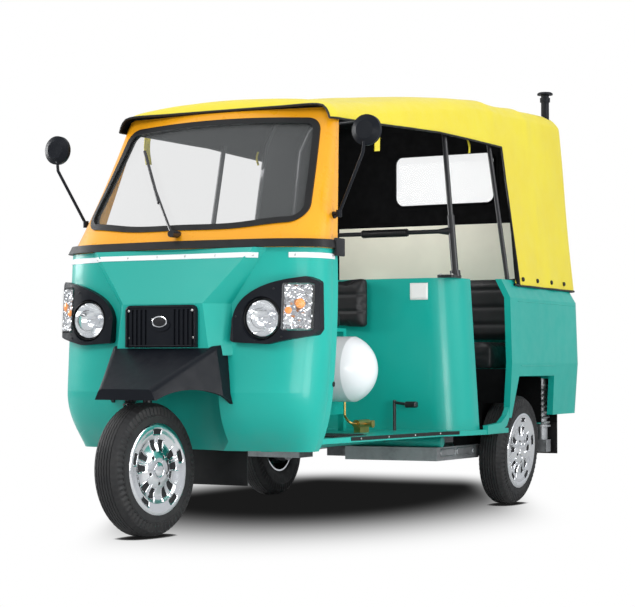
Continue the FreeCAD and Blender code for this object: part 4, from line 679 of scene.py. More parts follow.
class Hood:
    """The canopy's mesh: columns of points from hem to crown, keyed (side, column, row)."""

    def __init__(self):
        self.bm = bmesh.new()
        self.verts = {}
        self.low = steps(HEM_LOW, 1.400, 16) + steps(1.400, DOOR_TOP, 7)[1:]
        back = hood_section(HOOD_BACK)
        shares = arc_shares(back)
        start, window = [lookup(height, back[:, 1], shares) for height in (DOOR_TOP, WINDOW_TOP)]
        window = (window - start) / (1 - start)
        self.up = steps(0, window, 4)[1:] + steps(window, 1, 22)[1:]
        nose = NOSE_END - HOOD_FRONT
        self.places = [HOOD_FRONT + nose * (1 - math.cos(a)) for a in steps(0, math.pi / 2, 9)]
        self.places += steps(NOSE_END, DOOR_BACK, 53)[1:]
        self.door = len(self.places) - 1
        self.places += steps(DOOR_BACK, TURN_START, 28)[1:]
        turn = HOOD_BACK - TURN_START
        self.places += [TURN_START + turn * math.sin(a) for a in steps(0, math.pi / 2, 7)[1:]]
        self.edge_row = len(self.low) - 1
        self.top_row = self.edge_row + len(self.up)
        self.last = len(self.places) - 1

    def sides(self):
        """Roof and sides. Behind the doorway's own straight edge the columns lean forwards."""
        for column, y in enumerate(self.places):
            line = hood_section(y)
            run = arc_shares(line)
            begin = lookup(hood_edge(y), line[:, 1], run)
            crown = self.bm.verts.new((0, y, float(line[-1, 1])))
            for side in SIDES:
                points = []
                if column >= self.door:
                    lean = DOOR_LEAN * clamp((TURN_START - y) / (TURN_START - DOOR_BACK))
                    lean *= column > self.door
                    for row, z in enumerate(self.low[:-1]):
                        at = y - lean * (DOOR_TOP - z)
                        here = hood_section(at)
                        points.append((row, lookup(z, here[:, 1], here[:, 0]), at, z))
                for row, share in enumerate([0] + self.up[:-1], start=self.edge_row):
                    t = begin + (1 - begin) * share
                    points.append((row, lookup(t, run, line[:, 0]), y, lookup(t, run, line[:, 1])))
                for row, x, at, z in points:
                    self.verts[(side, column, row)] = self.bm.verts.new((side * x, at, z))
                self.verts[(side, column, self.top_row)] = crown
        for column in range(self.last):
            for side in SIDES:
                for row in range(self.top_row):
                    keys = [(side, column, row), (side, column + 1, row), (side, column + 1, row + 1),
                            (side, column, row + 1)]
                    if all(key in self.verts for key in keys):
                        self.bm.faces.new([self.verts[key] for key in keys])

    def back(self):
        """The flap behind, open where the clear window is sewn in."""
        peak = self.verts[(1, self.last, self.top_row)]
        grid = []
        while not grid or grid[-1][0].co.z <= peak.co.z - 0.022:
            left, right = [self.verts[(side, self.last, len(grid))] for side in SIDES]
            edge = right.co.x
            xs = (steps(-edge, -WINDOW_HALF, 11) + steps(-WINDOW_HALF, WINDOW_HALF, 19)[1:]
                  + steps(WINDOW_HALF, edge, 11)[1:])
            inner = [self.bm.verts.new((x, HOOD_BACK, right.co.z)) for x in xs[1:-1]]
            grid.append([left, *inner, right])
        cap_row = len(grid) - 1
        for row in range(cap_row):
            for index in range(len(grid[0]) - 1):
                if not (15 <= row < self.edge_row + 3 and 10 <= index < 28):
                    self.bm.faces.new([grid[row][index], grid[row][index + 1],
                                       grid[row + 1][index + 1], grid[row + 1][index]])
        rising = [self.verts[(1, self.last, row)] for row in range(cap_row + 1, self.top_row)]
        falling = [self.verts[(-1, self.last, row)] for row in range(self.top_row - 1, cap_row, -1)]
        self.bm.faces.new(grid[cap_row] + rising + [peak] + falling)

    def fold(self):
        """Turns the faces outwards and moves the cloth into its folds."""
        bmesh.ops.recalc_face_normals(self.bm, faces=self.bm.faces)
        self.bm.normal_update()
        if sum(v.normal.z for v in self.bm.verts if v.co.z > 1.7) < 0:
            bmesh.ops.reverse_faces(self.bm, faces=self.bm.faces)
            self.bm.normal_update()
        moves = {vert: vert.normal * hood_fold(vert.co) for vert in self.bm.verts}
        for vert, move in moves.items():
            still = abs(vert.co.y - HOOD_BACK) < 1e-4 and abs(vert.co.x) < 0.3 and vert.co.z > 1.35
            vert.co += move * (0.15 if still else 1)

    def edges(self):
        """The canopy's free edges, as lists of points."""
        def line(*keys):
            return [self.verts[key].co.copy() for key in keys]
        row = self.edge_row
        lines = [line(*[(-1, 0, r) for r in range(row, self.top_row + 1)],
                      *[(1, 0, r) for r in range(self.top_row - 1, row - 1, -1)])]
        for side in SIDES:
            lines.append(line(*[(side, c, row) for c in range(self.door + 1)]))
            lines.append(line(*[(side, self.door, r) for r in range(row, -1, -1)]))
            lines.append(line(*[(side, c, 0) for c in range(self.door, self.last + 1)]))
        return lines


def canopy():
    """The tarpaulin over its bows, lined with black, and the piping along its free edges."""
    hood = Hood()
    hood.sides()
    hood.back()
    hood.fold()
    area = sum(face.calc_area() for face in hood.bm.faces)
    mesh = bpy.data.meshes.new("canopy_cloth")
    hood.bm.to_mesh(mesh)
    piping = Solid()
    for line in hood.edges():
        piping.tube(line, 0.0045, 8)
    hood.bm.free()
    piece = added_object("canopy_cloth", mesh)
    mesh.materials.append(CANVAS.mat)
    mesh.materials.append(LINING_DARKENED_AS_SHADE.mat)
    skin = piece.modifiers.new("Skin", "SOLIDIFY")
    skin.thickness = CLOTH
    skin.offset = -1
    skin.material_offset = skin.material_offset_rim = 1
    finer(piece)
    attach(piece, "body")
    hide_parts("canopy")
    piping = piping.done("canopy_piping", RUBBER, slot="black_vinyl")


def finer(piece):
    subdivided = piece.modifiers.new("Finer", "SUBSURF")
    subdivided.levels = subdivided.render_levels = 1
    piece.data.shade_smooth()


# Cushions
SWELL_TICKS = 14
PADS = (
    # piece, node, voxel, inset, most swelling, seams as (axis, face, place, depth, width)
    ("passenger_seat_pad", "passenger_cushion", 0.010, 0.012, 0.012,
     [(1, UP, y, 0.007, 0.006) for y in (0.655, 0.745, 0.835, 0.925)] + [(2, AHEAD, 0.655, 0.004, 0.005)]),
    ("passenger_back_pad", "passenger_backrest", 0.009, 0.010, 0.012,
     [(2, AHEAD, z, 0.008, 0.006) for z in (0.80, 0.88, 0.96)]),
    ("driver_seat_pad", "driver_cushion", 0.007, 0.010, 0.012,
     [(1, UP, y, 0.006, 0.005) for y in (-0.37, -0.26, -0.15)]
     + [(0, UP, x, 0.004, 0.004) for x in (-0.16, 0.16)]),
    ("driver_back_pad", "driver_backrest", 0.006, 0.008, 0.010,
     [(2, AHEAD, z, 0.005, 0.005) for z in (0.84, 0.91)]),
)


def cushion(name, node, voxel, inset, most, seams):
    """A stuffed pad in its solid's place: swollen by cloth pressure, then quilted along seams."""
    low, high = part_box(node)
    low = Vector(low) + Vector((inset, inset, 0.002))
    high = Vector(high) - Vector((inset, inset, inset))
    piece = Solid().block(low, high, 0.018).done(name, VINYL, smooth=180, stands_for=(node,))
    remesh = piece.modifiers.new("Remesh", "REMESH")
    remesh.mode = "VOXEL"
    remesh.voxel_size = voxel
    apply_all(piece)
    start = np.array([v.co for v in piece.data.vertices])
    swell(piece)
    move = np.array([v.co for v in piece.data.vertices]) - start
    length = np.linalg.norm(move, axis=1, keepdims=True)
    points = start + move * np.minimum(1, most / np.maximum(length, 1e-9))
    points[:, 2] = np.maximum(points[:, 2], low.z)
    set_points(piece, points)
    quilt(piece, seams)
    finer(piece)


def swell(piece):
    """Blows the cover up as cloth under pressure and keeps the result."""
    cloth = piece.modifiers.new("Cloth", "CLOTH")
    cloth.settings.use_pressure = True
    cloth.settings.uniform_pressure_force = 4
    cloth.settings.quality = 4
    cloth.settings.effector_weights.gravity = 0
    cloth.point_cache.frame_start = 1
    cloth.point_cache.frame_end = SWELL_TICKS
    for tick in range(1, SWELL_TICKS + 1):
        bpy.context.scene.frame_set(tick)
    apply_all(piece)
    bpy.context.scene.frame_set(1)


def apply_all(piece):
    """Turns the modifiers' result into the piece's own mesh."""
    graph = bpy.context.evaluated_depsgraph_get()
    graph.update()
    mesh = bpy.data.meshes.new_from_object(piece.evaluated_get(graph))
    old = piece.data
    piece.modifiers.clear()
    piece.data = mesh
    bpy.data.meshes.remove(old)


def set_points(piece, points):
    piece.data.vertices.foreach_set("co", points.astype(np.float32).ravel())
    piece.data.update()


def quilt(piece, seams):
    """Presses sewn channels into the face that shows."""
    normals = np.array([v.normal for v in piece.data.vertices])
    points = np.array([v.co for v in piece.data.vertices])
    for axis, face, place, depth, width in seams:
        facing = np.clip(normals @ np.array(face), 0, 1)
        groove = np.exp(-((points[:, axis] - place) / width) ** 2) * depth * np.minimum(1, facing * 1.5)
        points -= np.outer(groove, face)
    set_points(piece, points)


# Wheels
WHEELS = (
    # name, body, joint, side that faces outwards
    ("front", "front_wheel_body", "front_wheel_spin", 1),
    ("rear_left", "rear_left_wheel_body", "rear_left_spin", 1),
    ("rear_right", "rear_right_wheel_body", "rear_right_spin", -1),
)
TYRE_SIDE = (
    # radius, height over the wheel's middle: from the bead to the tread's edge
    (0.128, -0.044), (0.132, -0.050), (0.142, -0.0545), (0.158, -0.0568), (0.176, -0.0570),
    (0.188, -0.0570), (0.1885, -0.0580), (0.1905, -0.0580), (0.191, -0.0568), (0.1945, -0.0566),
    (0.1955, -0.0570), (0.2175, -0.0540), (0.2195, -0.0530), (0.2235, -0.0505), (0.2285, -0.0455),
    (0.2325, -0.038),
)
GROOVES = (-0.030, -0.0175, -0.0058, 0.0058, 0.0175, 0.030)
GROOVE_HALF = 0.0014
GROOVE_DEPTH = 0.005
TICKS = 64
TICK_DEPTH = 0.0042
COVER_SHAPE = (
    # radius, height over the wheel's middle
    (0.024, 0.0625), (0.038, 0.0625), (0.046, 0.0622), (0.052, 0.0610), (0.060, 0.0590),
    (0.066, 0.0565), (0.076, 0.0535), (0.088, 0.0510), (0.100, 0.0505), (0.112, 0.0530),
    (0.120, 0.0560), (0.128, 0.0580), (0.136, 0.0585), (0.144, 0.0600), (0.150, 0.0615),
    (0.157, 0.0615), (0.163, 0.0600), (0.166, 0.0572),
)
COVER_RINGS = (0.166, 0.163, 0.157, 0.150, *[0.144 - 0.006 * ring for ring in range(15)],
               0.056, 0.051, 0.046, 0.038, 0.030, 0.024)
COVER_SEGMENTS = 120
COVER_SPOKES = 5


def wheel_frame(joint, outward):
    """Matrix from a wheel's own frame, with its axis along X, to its place on the vehicle."""
    facts = next(j for j in frame["joints"] if j["name"] == joint)
    axis = Vector(facts["axis"]).normalized() * outward
    up = (UP - axis * UP.dot(axis)).normalized()
    turn = Matrix((axis, up.cross(axis), up)).transposed()
    return Matrix.Translation(facts["pos_m"]) @ turn.to_4x4()


def tyre(name, body, matrix):
    """Ribbed road tyre: six grooves with wavy sides round the tread, ticks on each shoulder."""
    tread = []
    for place in GROOVES:
        crown = 0.240 - 2.2 * place * place
        tread += [(crown, place - GROOVE_HALF), (crown - GROOVE_DEPTH, place - GROOVE_HALF * 0.7),
                  (crown - GROOVE_DEPTH, place + GROOVE_HALF * 0.7), (crown, place + GROOVE_HALF)]
    segments = TICKS * 4
    rows = []
    for radius, x in (*TYRE_SIDE, *tread, *[(r, -x) for r, x in reversed(TYRE_SIDE)]):
        on_side = 0.195 < radius < 0.220 and abs(x) > 0.05
        on_shoulder = 0.232 < radius < 0.2345 and abs(x) > 0.036
        on_tread = radius > 0.2335 and abs(x) < 0.032
        row = []
        for index in range(segments):
            angle = math.tau * index / segments
            tick = index % 4 > 1
            r = radius - (0.002 if tick and on_shoulder else 0)
            place = x - math.copysign(TICK_DEPTH if tick and on_side else 0.0, x)
            place += 0.0011 * math.sin(TICKS * angle) if on_tread else 0
            row.append(matrix @ Vector((place, r * math.sin(angle), r * math.cos(angle))))
        rows.append(row)
    solid = Solid()
    solid.grid(rows, closed_across=True, closed_along=True)
    solid.done(name + "_road_tyre", TYRE, body, smooth=40, stands_for=(name + "_tyre",))


def cover_height(radius):
    return lookup(radius, *zip(*COVER_SHAPE))


def in_window(radius, angle):
    """Whether the wheel cover is open at a place: angles in degrees from a group's middle."""
    return ((0.126 < radius < 0.144 and abs(angle) < 9)
            or (0.072 < radius < 0.108 and 6 < abs(angle) < 21)
            or (0.046 < radius < 0.056 and abs(angle) > 29))


def wheel_cover(name, body, matrix):
    """Chrome cover over the wheel and the tyre's bead, with five groups of windows."""
    away = matrix.to_3x3() @ ACROSS
    centre = matrix.translation

    def at(radius, turn, lift=0.0):
        return matrix @ Vector((cover_height(radius) + lift, radius * math.sin(turn),
                                radius * math.cos(turn)))

    dish, back, chrome = solids(3)
    rows = [[dish.bm.verts.new(at(radius, math.tau * index / COVER_SEGMENTS))
             for index in range(COVER_SEGMENTS)] for radius in COVER_RINGS]
    group = 360 / COVER_SPOKES
    for outer, inner, *radii in zip(rows, rows[1:], COVER_RINGS, COVER_RINGS[1:]):
        for index in range(COVER_SEGMENTS):
            angle = ((index + 0.5) * 360 / COVER_SEGMENTS + group / 2) % group - group / 2
            if not in_window(sum(radii) / 2, angle):
                after = (index + 1) % COVER_SEGMENTS
                dish.bm.faces.new([outer[index], outer[after], inner[after], inner[index]])
    thicken(dish.done(name + "_cover", CHROME, body), 0.0016)
    # Painted shade: a black backing just behind the cover, so that its windows show dark, as the shaded
    # wheel behind them
    back.lathe([(radius, cover_height(radius) - 0.0030) for radius in COVER_RINGS[3:]], centre, away,
               72, "open")
    back.done(name + "_cover_shade_backing", DARK, body)
    chrome.lathe([(0.0245, 0.0615), (0.0235, 0.0640), (0.018, 0.0655), (0.008, 0.0662), (0, 0.0663)],
                 centre, away, 32)
    for index in range(COVER_SPOKES):
        middle = math.tau * index / COVER_SPOKES
        chrome.lathe([(0.0058, 0), (0.0058, 0.0030), (0.0046, 0.0042), (0, 0.0042)],
                     at(0.034, middle + math.pi / COVER_SPOKES, -0.0005), away, 6)
        for swing in (-0.41, -0.05, 0.05, 0.41):
            chrome.tube([at(radius, middle + swing, 0.0006) for radius in steps(0.064, 0.119, 9)],
                        0.0021, 8)
    chrome.done(name + "_cover_trim", CHROME, body)


def thicken(piece, thickness):
    piece.modifiers.new("Thickness", "SOLIDIFY").thickness = thickness


def wheels():
    for name, body, joint, outward in WHEELS:
        matrix = wheel_frame(joint, outward)
        tyre(name, body, matrix)
        wheel_cover(name, body, matrix)


# Lamps
def headlamps():
    """Clear lens over a facetted bowl, with the bulb behind its round shield."""
    low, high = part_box("headlamps")
    rims, bowls, lenses, cups, gaskets = solids(5)
    for side in SIDES:
        at = Vector((0.375 * side, high[1] - 0.003, 0.783))
        rims.lathe([(0.0655, 0.0), (0.0695, 0.0), (0.0695, 0.060), (0.0688, 0.064), (0.0672, 0.064),
                    (0.0655, 0.058)], at, AHEAD, 64, "ring")
        bowls.lathe([(0.008, 0.010), (0.012, 0.010), (0.020, 0.014), (0.036, 0.023), (0.050, 0.037),
                     (0.060, 0.050), (0.0655, 0.062)], at, AHEAD, 18, "open")
        lenses.lathe([(0.0665, 0.060), (0.065, 0.066), (0.056, 0.071), (0.042, 0.0745),
                      (0.024, 0.0765), (0, 0.077)], at, AHEAD, 56)
        cups.lathe([(0.017, 0.014), (0.017, 0.040), (0.0155, 0.046), (0.013, 0.046),
                    (0.012, 0.036), (0, 0.034)], at, AHEAD, 28)
        for turn in (0.5, 2.6, 4.7):
            way = Vector((math.cos(turn), 0, math.sin(turn)))
            cups.tube([at + AHEAD * 0.034 + way * 0.016, at + AHEAD * 0.048 + way * 0.050], 0.0015, 6)
        gaskets.lathe([(0.0712, 0.0), (0.0742, 0.0), (0.0742, 0.006), (0.0727, 0.0075),
                       (0.0712, 0.006)], (at.x, low[1] + 0.010, at.z), AHEAD, 64, "ring")
    rims.done("headlamp_rims", CHARCOAL)
    bowls.done("headlamp_bowls", MIRROR, smooth=30, stands_for=("headlamps",))
    cups.done("headlamp_bulb_shields", CHROME, slot="lamp_reflector")
    lenses.done("headlamp_lenses", LENS)
    gaskets.done("headlamp_gaskets", RUBBER)


def shell(name, node, offset, look, smooth=30, stands_for=()):
    """A piece with a node's own outline, moved in or out along its normals."""
    solid = Solid()
    solid.bm.from_mesh(NODES[node].data)
    bmesh.ops.remove_doubles(solid.bm, verts=solid.bm.verts, dist=1e-5)
    bmesh.ops.recalc_face_normals(solid.bm, faces=solid.bm.faces)
    solid.bm.normal_update()
    for vert, move in [(v, v.normal * offset) for v in solid.bm.verts]:
        vert.co += move
    for face in solid.bm.faces:
        face.material_index = 0
    solid.done(name, look, smooth=smooth, stands_for=stands_for)


def indicators():
    """Clear covers over chrome, with amber and plain bulbs."""
    skin = Skin("indicator_lamps")
    shell("indicator_lenses", "indicator_lamps", 0.0, LENS, stands_for=("indicator_lamps",))
    shell("indicator_reflectors", "indicator_lamps", -0.009, FACETS, smooth=5)
    amber, plain = solids(2)
    for side in SIDES:
        for x, z, radius, kind in ((0.514, 0.836, 0.018, amber), (0.476, 0.812, 0.013, amber),
                                   (0.470, 0.868, 0.012, plain), (0.478, 0.776, 0.017, plain)):
            for place in skin.before([(side * x, z)], -0.010):
                kind.lathe([(radius, 0), (radius, 0.003), (radius * 0.8, 0.0065),
                            (radius * 0.4, 0.0082), (0, 0.0085)], *place, 24)
    amber.done("indicator_bulbs", AMBER_BULB)
    plain.done("indicator_side_bulbs", MIRROR)


# Trim on the nose
def strip_line(skin, turns, lift=0.0):
    """Where the cowl is met under the belt, for directions round a point behind the nose."""
    found = []
    for turn in map(math.radians, turns):
        out = Vector((math.sin(turn), -math.cos(turn), 0))
        found += skin.hits([Vector((0, -0.6, 1.012)) + out * 2], -out, lift)
    return found


def white_strips():
    """The two white strips screwed on under the belt."""
    skin = Skin("front_cowl")
    strips, heads = solids(2)
    for first, last, count in ((-67, 38, 8), (48, 67, 2)):
        strips.strip(strip_line(skin, steps(first, last, int((last - first) / 2) + 2)), 0.020, 0.003)
        screws(heads, strip_line(skin, steps(first + 2, last - 2, count), 0.003), 0.0042)
    strips.done("white_trim_strips", WHITE)
    heads.done("trim_strip_screws", BOLT)


def belt_caps():
    """Moulded caps on the ends of the belt."""
    caps = Solid()
    edge, end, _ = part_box("belt_moulding")[1]
    for side in SIDES:
        caps.block((side * (edge - 0.010), end - 0.060, 1.014),
                   (side * (edge + 0.002), end + 0.010, 1.080), 0.004)
    caps.done("belt_end_caps", DARK)


def grille_trim():
    """Rim and plate of the blank oval, the panel's screws and the bead round its edge."""
    skin = Skin("grille_panel")
    low, high = [corner[2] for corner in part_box("grille_panel")]
    face = skin.before([(0.0, 0.772)], 0.001)[0][0]
    rim, plate, heads, bead = solids(4)
    rim.tube(oval(face, 0.030, 0.019), 0.0028, 8, closed=True)
    rim.done("grille_oval_rim", CHROME)
    plate.grid([oval(face - AHEAD * lift, 0.029 * size, 0.018 * size) for size, lift in
                ((1, 0.001), (0.96, -0.001), (0.5, -0.0026), (0.02, -0.003))], closed_across=True)
    plate.done("grille_blank_oval", DARK)
    screws(heads, skin.before([(x, z) for x in (-0.136, 0.136) for z in (low + 0.035, high - 0.020)]),
           0.0050)
    heads.done("grille_screws", BOLT)
    outline = rounded(UP * ((low + high) / 2), 0.146, (high - low) / 2 - 0.006, 0.014)
    bead.tube([point for point, _ in skin.before([(p.x, p.z) for p in outline], 0.0005)], 0.0032, 8,
              closed=True)
    bead.done("grille_bead", CHARCOAL)


def bezel_screws():
    skin = Skin("headlamp_bezels")
    heads = Solid()
    for side in SIDES:
        screws(heads, skin.before([(side * x, z) for x, z in
                                   ((0.272, 0.790), (0.452, 0.716), (0.420, 0.889))]), 0.0042)
    heads.done("bezel_screws", DARK)


def cowl_grommets():
    skin = Skin("front_cowl")
    plugs = Solid()
    for side in SIDES:
        for place in skin.beside(side, [(-0.835, 0.545)]):
            plugs.lathe([(0.010, -0.001), (0.010, 0.0015), (0.007, 0.003), (0, 0.003)], *place, 24)
    plugs.done("cowl_grommets", RUBBER)


def mirror_glasses():
    """The glass in each mirror's back, in its rim."""
    skin = Skin("mirrors")
    glass, rims = solids(2)
    x, _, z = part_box("mirrors")[1]
    for side in SIDES:
        for place in skin.behind([(side * (x - 0.048), z - 0.048)]):
            glass.lathe([(0.033, -0.001), (0.033, 0.0012), (0.031, 0.0016), (0, 0.0018)], *place, 48)
            rims.lathe([(0.0332, 0), (0.0365, 0), (0.036, 0.0025), (0.0338, 0.0025)], *place, 48,
                       "ring")
    glass.done("mirror_glasses", MIRROR)
    rims.done("mirror_rims", DARK)


# Trim round the cab
def pillar_bolts():
    """Bolts on the windshield pillars and at the feet of the hood poles."""
    pillars, poles = Skin("windshield_frame"), Skin("hood_poles")
    heads = Solid()
    for side in SIDES:
        bolts(heads, pillars.beside(side, ((-0.690, 1.300), (-0.760, 1.135), (-0.655, 1.455))))
        bolts(heads, poles.hits([(side * x, y, 0.992) for x in (0.555, 0.605) for y in (0.128, 0.196)],
                                -UP))
    heads.done("pillar_bolts", BOLT)


def rings(start, pitch, count, radii, places):
    """Profile of the raised rings of a rubber grip."""
    return [(radii[raised], start + index * pitch + place) for index in range(count)
            for raised, place in zip((0, 1, 1, 0), places)]


def grab_bar_grips():
    low, high = [Vector(corner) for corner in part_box("grab_bar")]
    middle = (low + high) / 2
    grips = Solid()
    profile = rings(0.003, 0.0080, 26, (0.0158, 0.0170), (0, 0.0018, 0.0042, 0.0060))
    for side in SIDES:
        grips.lathe([(0.0150, 0), *profile, (0.0150, 0.213)], (side * 0.168, middle.y, middle.z),
                    (side, 0, 0), 24)
    grips.done("grab_bar_grips", RUBBER)


def handlebar_grips():
    """Rubber grips on the bar's ends, with a flange inboard."""
    points = np.array([v.co for v in NODES["handlebar"].data.vertices])
    grips = Solid()
    profile = [(0.0132, 0), (0.0175, 0.0005), (0.0180, 0.003), (0.0150, 0.004),
               *rings(0.006, 0.0085, 11, (0.0145, 0.0155), (0, 0.002, 0.0045, 0.0065)),
               (0.0150, 0.103), (0.0132, 0.1045)]
    for side in SIDES:
        out = points[:, 0] * side
        end = Vector(points[out > 0.9 * out.max()].mean(axis=0))
        way = (end - Vector(points[(out > 0.14) & (out < 0.24)].mean(axis=0))).normalized()
        grips.lathe(profile, end - way * 0.103, way, 24)
    grips.done("handlebar_grips", RUBBER, "steering")


def blank_label():
    """The blank white sticker on the partition's front."""
    skin = Skin("partition")
    card = Solid()
    card.grid([[skin.before([(x, z)], 0.0012)[0][0] for x in steps(0.425, 0.505, 8)]
               for z in steps(0.885, 0.955, 6)])
    thicken(card.done("blank_label", PAPER), 0.0008)


def floor_mat():
    """Ribbed rubber mat in front of the driver's feet."""
    mat = Solid()
    mat.block((-0.50, -0.74, FLOOR), (0.50, -0.46, FLOOR + 0.003), 0.001)
    for y in steps(-0.73, -0.47, 20):
        mat.block((-0.49, y - 0.0025, FLOOR + 0.0025), (0.49, y + 0.0025, FLOOR + 0.0055), 0.001)
    mat.done("floor_mat", RUBBER)


def sill_strips():
    """Rubber strips screwed along the floor's edges."""
    skin = Skin("floor_pan")
    sills, heads = solids(2)
    for side in SIDES:
        found = skin.beside(side, [(y, 0.338) for y in steps(-0.66, 0.09, 24)])
        sills.strip(found, 0.014, 0.003)
        screws(heads, [(point + normal * 0.003, normal) for point, normal in found[2::6]])
    sills.done("sill_strips", RUBBER)
    heads.done("sill_screws", BOLT)


def cylinder_bands():
    """Two steel bands round the gas cylinder, each with its lugs and bolt."""
    low, high = [Vector(corner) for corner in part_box("gas_cylinder")]
    _, y, z = (low + high) / 2
    radius = (high.z - low.z) / 2
    front = y - radius
    bands = Solid()
    for x in (-0.22, 0.22):
        bands.lathe([(radius - 0.001, -0.019), (radius + 0.0022, -0.019), (radius + 0.0028, -0.017),
                     (radius + 0.0028, 0.017), (radius + 0.0022, 0.019), (radius - 0.001, 0.019)],
                    (x, y, z), ACROSS, 72, "ring")
        for side in SIDES:
            bands.block((x - 0.016, front - 0.024, z + side * 0.012), (x + 0.016, front, z + side * 0.004),
                        0.0015)
        bands.tube([(x, front - 0.015, z - 0.022), (x, front - 0.015, z + 0.022)], 0.003, 10)
    bands.done("cylinder_bands", BLACK_STEEL)


# Trim on the canopy
def straps_and_snaps():
    """Hanging straps in the doorway, and press studs along the hem."""
    skin = Skin("canopy")
    straps, snaps = solids(2)
    for side in SIDES:
        for y, wide, low in ((-0.43, 0.045, 1.445), (0.50, 0.016, 1.535)):
            top = hood_edge(y) + 0.020
            line = smooth_path([(side * 0.520, y, top), (side * 0.528, y + 0.004, (top + low) / 2),
                                (side * 0.524, y + 0.012, low)], 6)
            straps.strip([(point, ACROSS * side) for point in line], wide, CLOTH)
        for place in (skin.beside(side, [(y, 0.992) for y in (0.75, 0.93, 1.11, 1.28)], 0.004)
                      + skin.behind([(side * x, 0.992) for x in (0.50, 0.20)], 0.004)):
            snaps.lathe([(0.010, -0.004), (0.010, 0.001), (0.0075, 0.0035), (0.003, 0.004),
                         (0.0025, 0.003), (0, 0.003)], *place, 20)
    straps.done("canopy_straps", CANVAS)
    snaps.done("canopy_snaps", DARK)


def window_binding():
    """Black binding sewn round the clear window, and the cloth's edge under it."""
    def ring(y, wide, tall, corner):
        return rounded(Vector((0, y, 1.530)), wide, tall, corner, 9)

    binding = Solid()
    for y in (HOOD_BACK + 0.001, HOOD_BACK - 0.008):
        binding.tube([p + UP * (0.002 * math.sin(p.x * 40)) for p in ring(y, 0.268, 0.127, 0.045)],
                     0.006, 8, closed=True)
    y = HOOD_BACK - 0.0055
    binding.grid([ring(y, 0.288, 0.150, 0.006), ring(y, 0.266, 0.125, 0.045),
                  ring(y + 0.004, 0.266, 0.125, 0.045)], closed_across=True)
    binding.done("rear_window_binding", LINING_DARKENED_AS_SHADE)


# Trim on the rear body
def linings_and_shade_plates():
    """Black sheet inside the wheel arches, in front of the seat base and on the steps; the arch,
    deck-front and low plates are painted shade, black sheets where the body's panels lie in shadow.
    """
    low, high = [Vector(corner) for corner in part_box("seat_base")]
    deck_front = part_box("engine_deck")[0][1]
    front = low.y - 0.001
    plates = [((-0.545, front - 0.003, FLOOR - 0.004), (0.545, front, 0.450)),
              ((low.x, front - 0.003, 0.450), (high.x, front, high.z + 0.001))]
    for side in SIDES:
        outer, inner, edge = 0.519 * side, 0.515 * side, 0.690 * side
        # Painted shade: black plates in the arches, at the deck's front and over low gaps, where the body
        # lies in shadow
        plates += [((outer, 0.615, 0.340), (inner, 1.075, 0.560)),
                   ((outer, 0.600, 0.268), (inner, 0.690, 0.345)),
                   ((outer, 0.350, 0.268), (inner, 0.600, 0.322)),
                   ((outer, deck_front - 0.005, 0.350), (0.640 * side, deck_front - 0.001, 0.560)),
                   ((0.600 * side, 1.152, 0.350), (edge, 1.156, 0.560)),
                   ((edge, 0.300, FLOOR - 0.002), (0.510 * side, 0.520, FLOOR + 0.003))]
        plates += [((0.685 * side, y - 0.0025, FLOOR + 0.0025), (0.525 * side, y + 0.0025, FLOOR + 0.0050))
                   for y in steps(0.315, 0.505, 13)]
    linings = Solid()
    for start, end in plates:
        linings.block(start, end, 0.001)
    linings.done("linings_and_shade_plates", LINING_DARKENED_AS_SHADE)


def arm_beads():
    """Pressed beads along the outer faces of the trailing arms."""
    skin = Skin("trailing_arms")
    beads = Solid()
    for side in SIDES:
        for first, last in ((0.20, 0.33), (0.35, 0.50)):
            ring = rounded(Vector((0, (first + last) / 2, 0.247)), (last - first) / 2, 0.015, 0.012,
                           across=-AHEAD)
            found = skin.beside(side, [(p.y, p.z) for p in ring], 0.001)
            beads.tube([point for point, _ in found], 0.0035, 8, closed=True)
    beads.done("arm_beads", GREY_STEEL)


def quarter_beads():
    """Pressed lines on the rear quarters, above the arch and below the canopy."""
    beads = Solid()
    for side, name in ((-1, "rear_quarter_right"), (1, "rear_quarter_left")):
        skin = Skin(name)
        for z, first, last in ((0.612, 0.64, 1.06), (0.892, 0.62, 1.36)):
            found = skin.beside(side, [(y, z) for y in steps(first, last, 24)], -0.0015)
            beads.tube([point for point, _ in found], 0.0032, 8)
    beads.done("quarter_beads", TEAL)


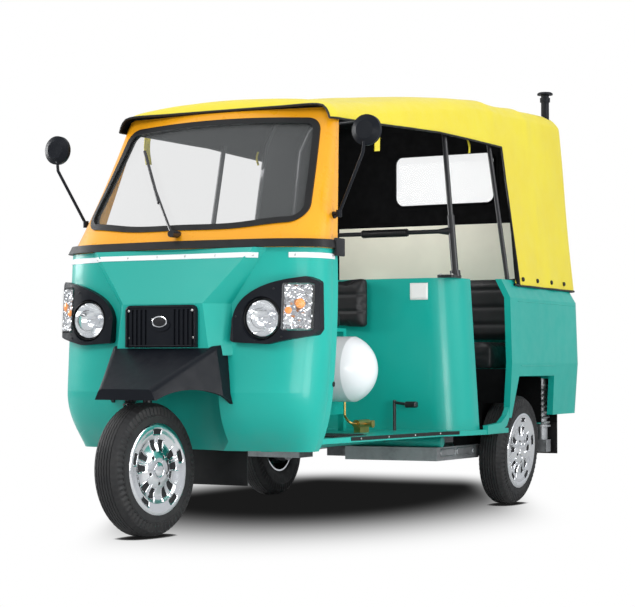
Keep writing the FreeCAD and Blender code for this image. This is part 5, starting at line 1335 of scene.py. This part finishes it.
def mudflap_bolts():
    skin = Skin("mudflaps")
    heads = Solid()
    bolts(heads, skin.before([(x, 0.40) for x in (-0.10, 0.0, 0.10)])
          + skin.behind([(side * x, 0.315) for side in SIDES for x in (0.58, 0.64)]), 0.005, 0.004)
    heads.done("mudflap_bolts", BOLT)


def rear_lid_fittings():
    """Pressed louvres and a pull handle on the engine lid."""
    (_, _, low), (_, face, _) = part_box("rear_lid")
    louvres, handle = solids(2)
    for column in (-0.24, 0.0, 0.24):
        for z in steps(0.560, 0.696, 5):
            louvres.grid([[(column + x, face + out, z + up) for x in steps(-0.085, 0.085, 9)]
                          for out, up in ((-0.001, 0.012), (0.002, 0.010), (0.006, 0.003),
                                          (0.0075, -0.002), (0.0065, -0.006), (-0.001, -0.006))])
    louvres.done("lid_louvres", TEAL, "rear_lid_body")
    bend = [(0.045, 0, 0.035), (0.045, 0.006, 0.035), (0.030, 0.0095, 0.033)]
    path = [(-x, out, up) for x, out, up in bend] + bend[::-1]
    handle.tube(smooth_path([(x, face + out, low + up) for x, out, up in path], 5), 0.003, 10)
    handle.done("lid_handle", CHROME, "rear_lid_body")


def tail_lamp_trim():
    """Black frames round the tail lamps and ribs across their lenses."""
    low, high = [Vector(corner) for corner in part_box("tail_lamps")]
    frames, ribs = solids(2)
    for side in SIDES:
        centre = Vector((side * 0.505, high.y, (low.z + high.z) / 2))
        frames.tube(rounded(centre, 0.036, (high.z - low.z) / 2 + 0.001, 0.010), 0.0032, 8, closed=True)
        for z in steps(low.z + 0.014, high.z - 0.014, 12):
            ribs.tube([(centre.x - 0.030, high.y, z), (centre.x + 0.030, high.y, z)], 0.0022, 6)
    frames.done("tail_lamp_frames", DARK)
    ribs.done("tail_lamp_ribs", RED)


studio()
canopy()
for pad in PADS:
    cushion(*pad)
for build in (wheels, headlamps, indicators, white_strips, belt_caps, grille_trim, bezel_screws,
              cowl_grommets, mirror_glasses, pillar_bolts, grab_bar_grips, handlebar_grips,
              blank_label, floor_mat, sill_strips, cylinder_bands, straps_and_snaps, window_binding,
              linings_and_shade_plates, arm_beads, quarter_beads, mudflap_bolts, rear_lid_fittings,
              tail_lamp_trim):
    build()
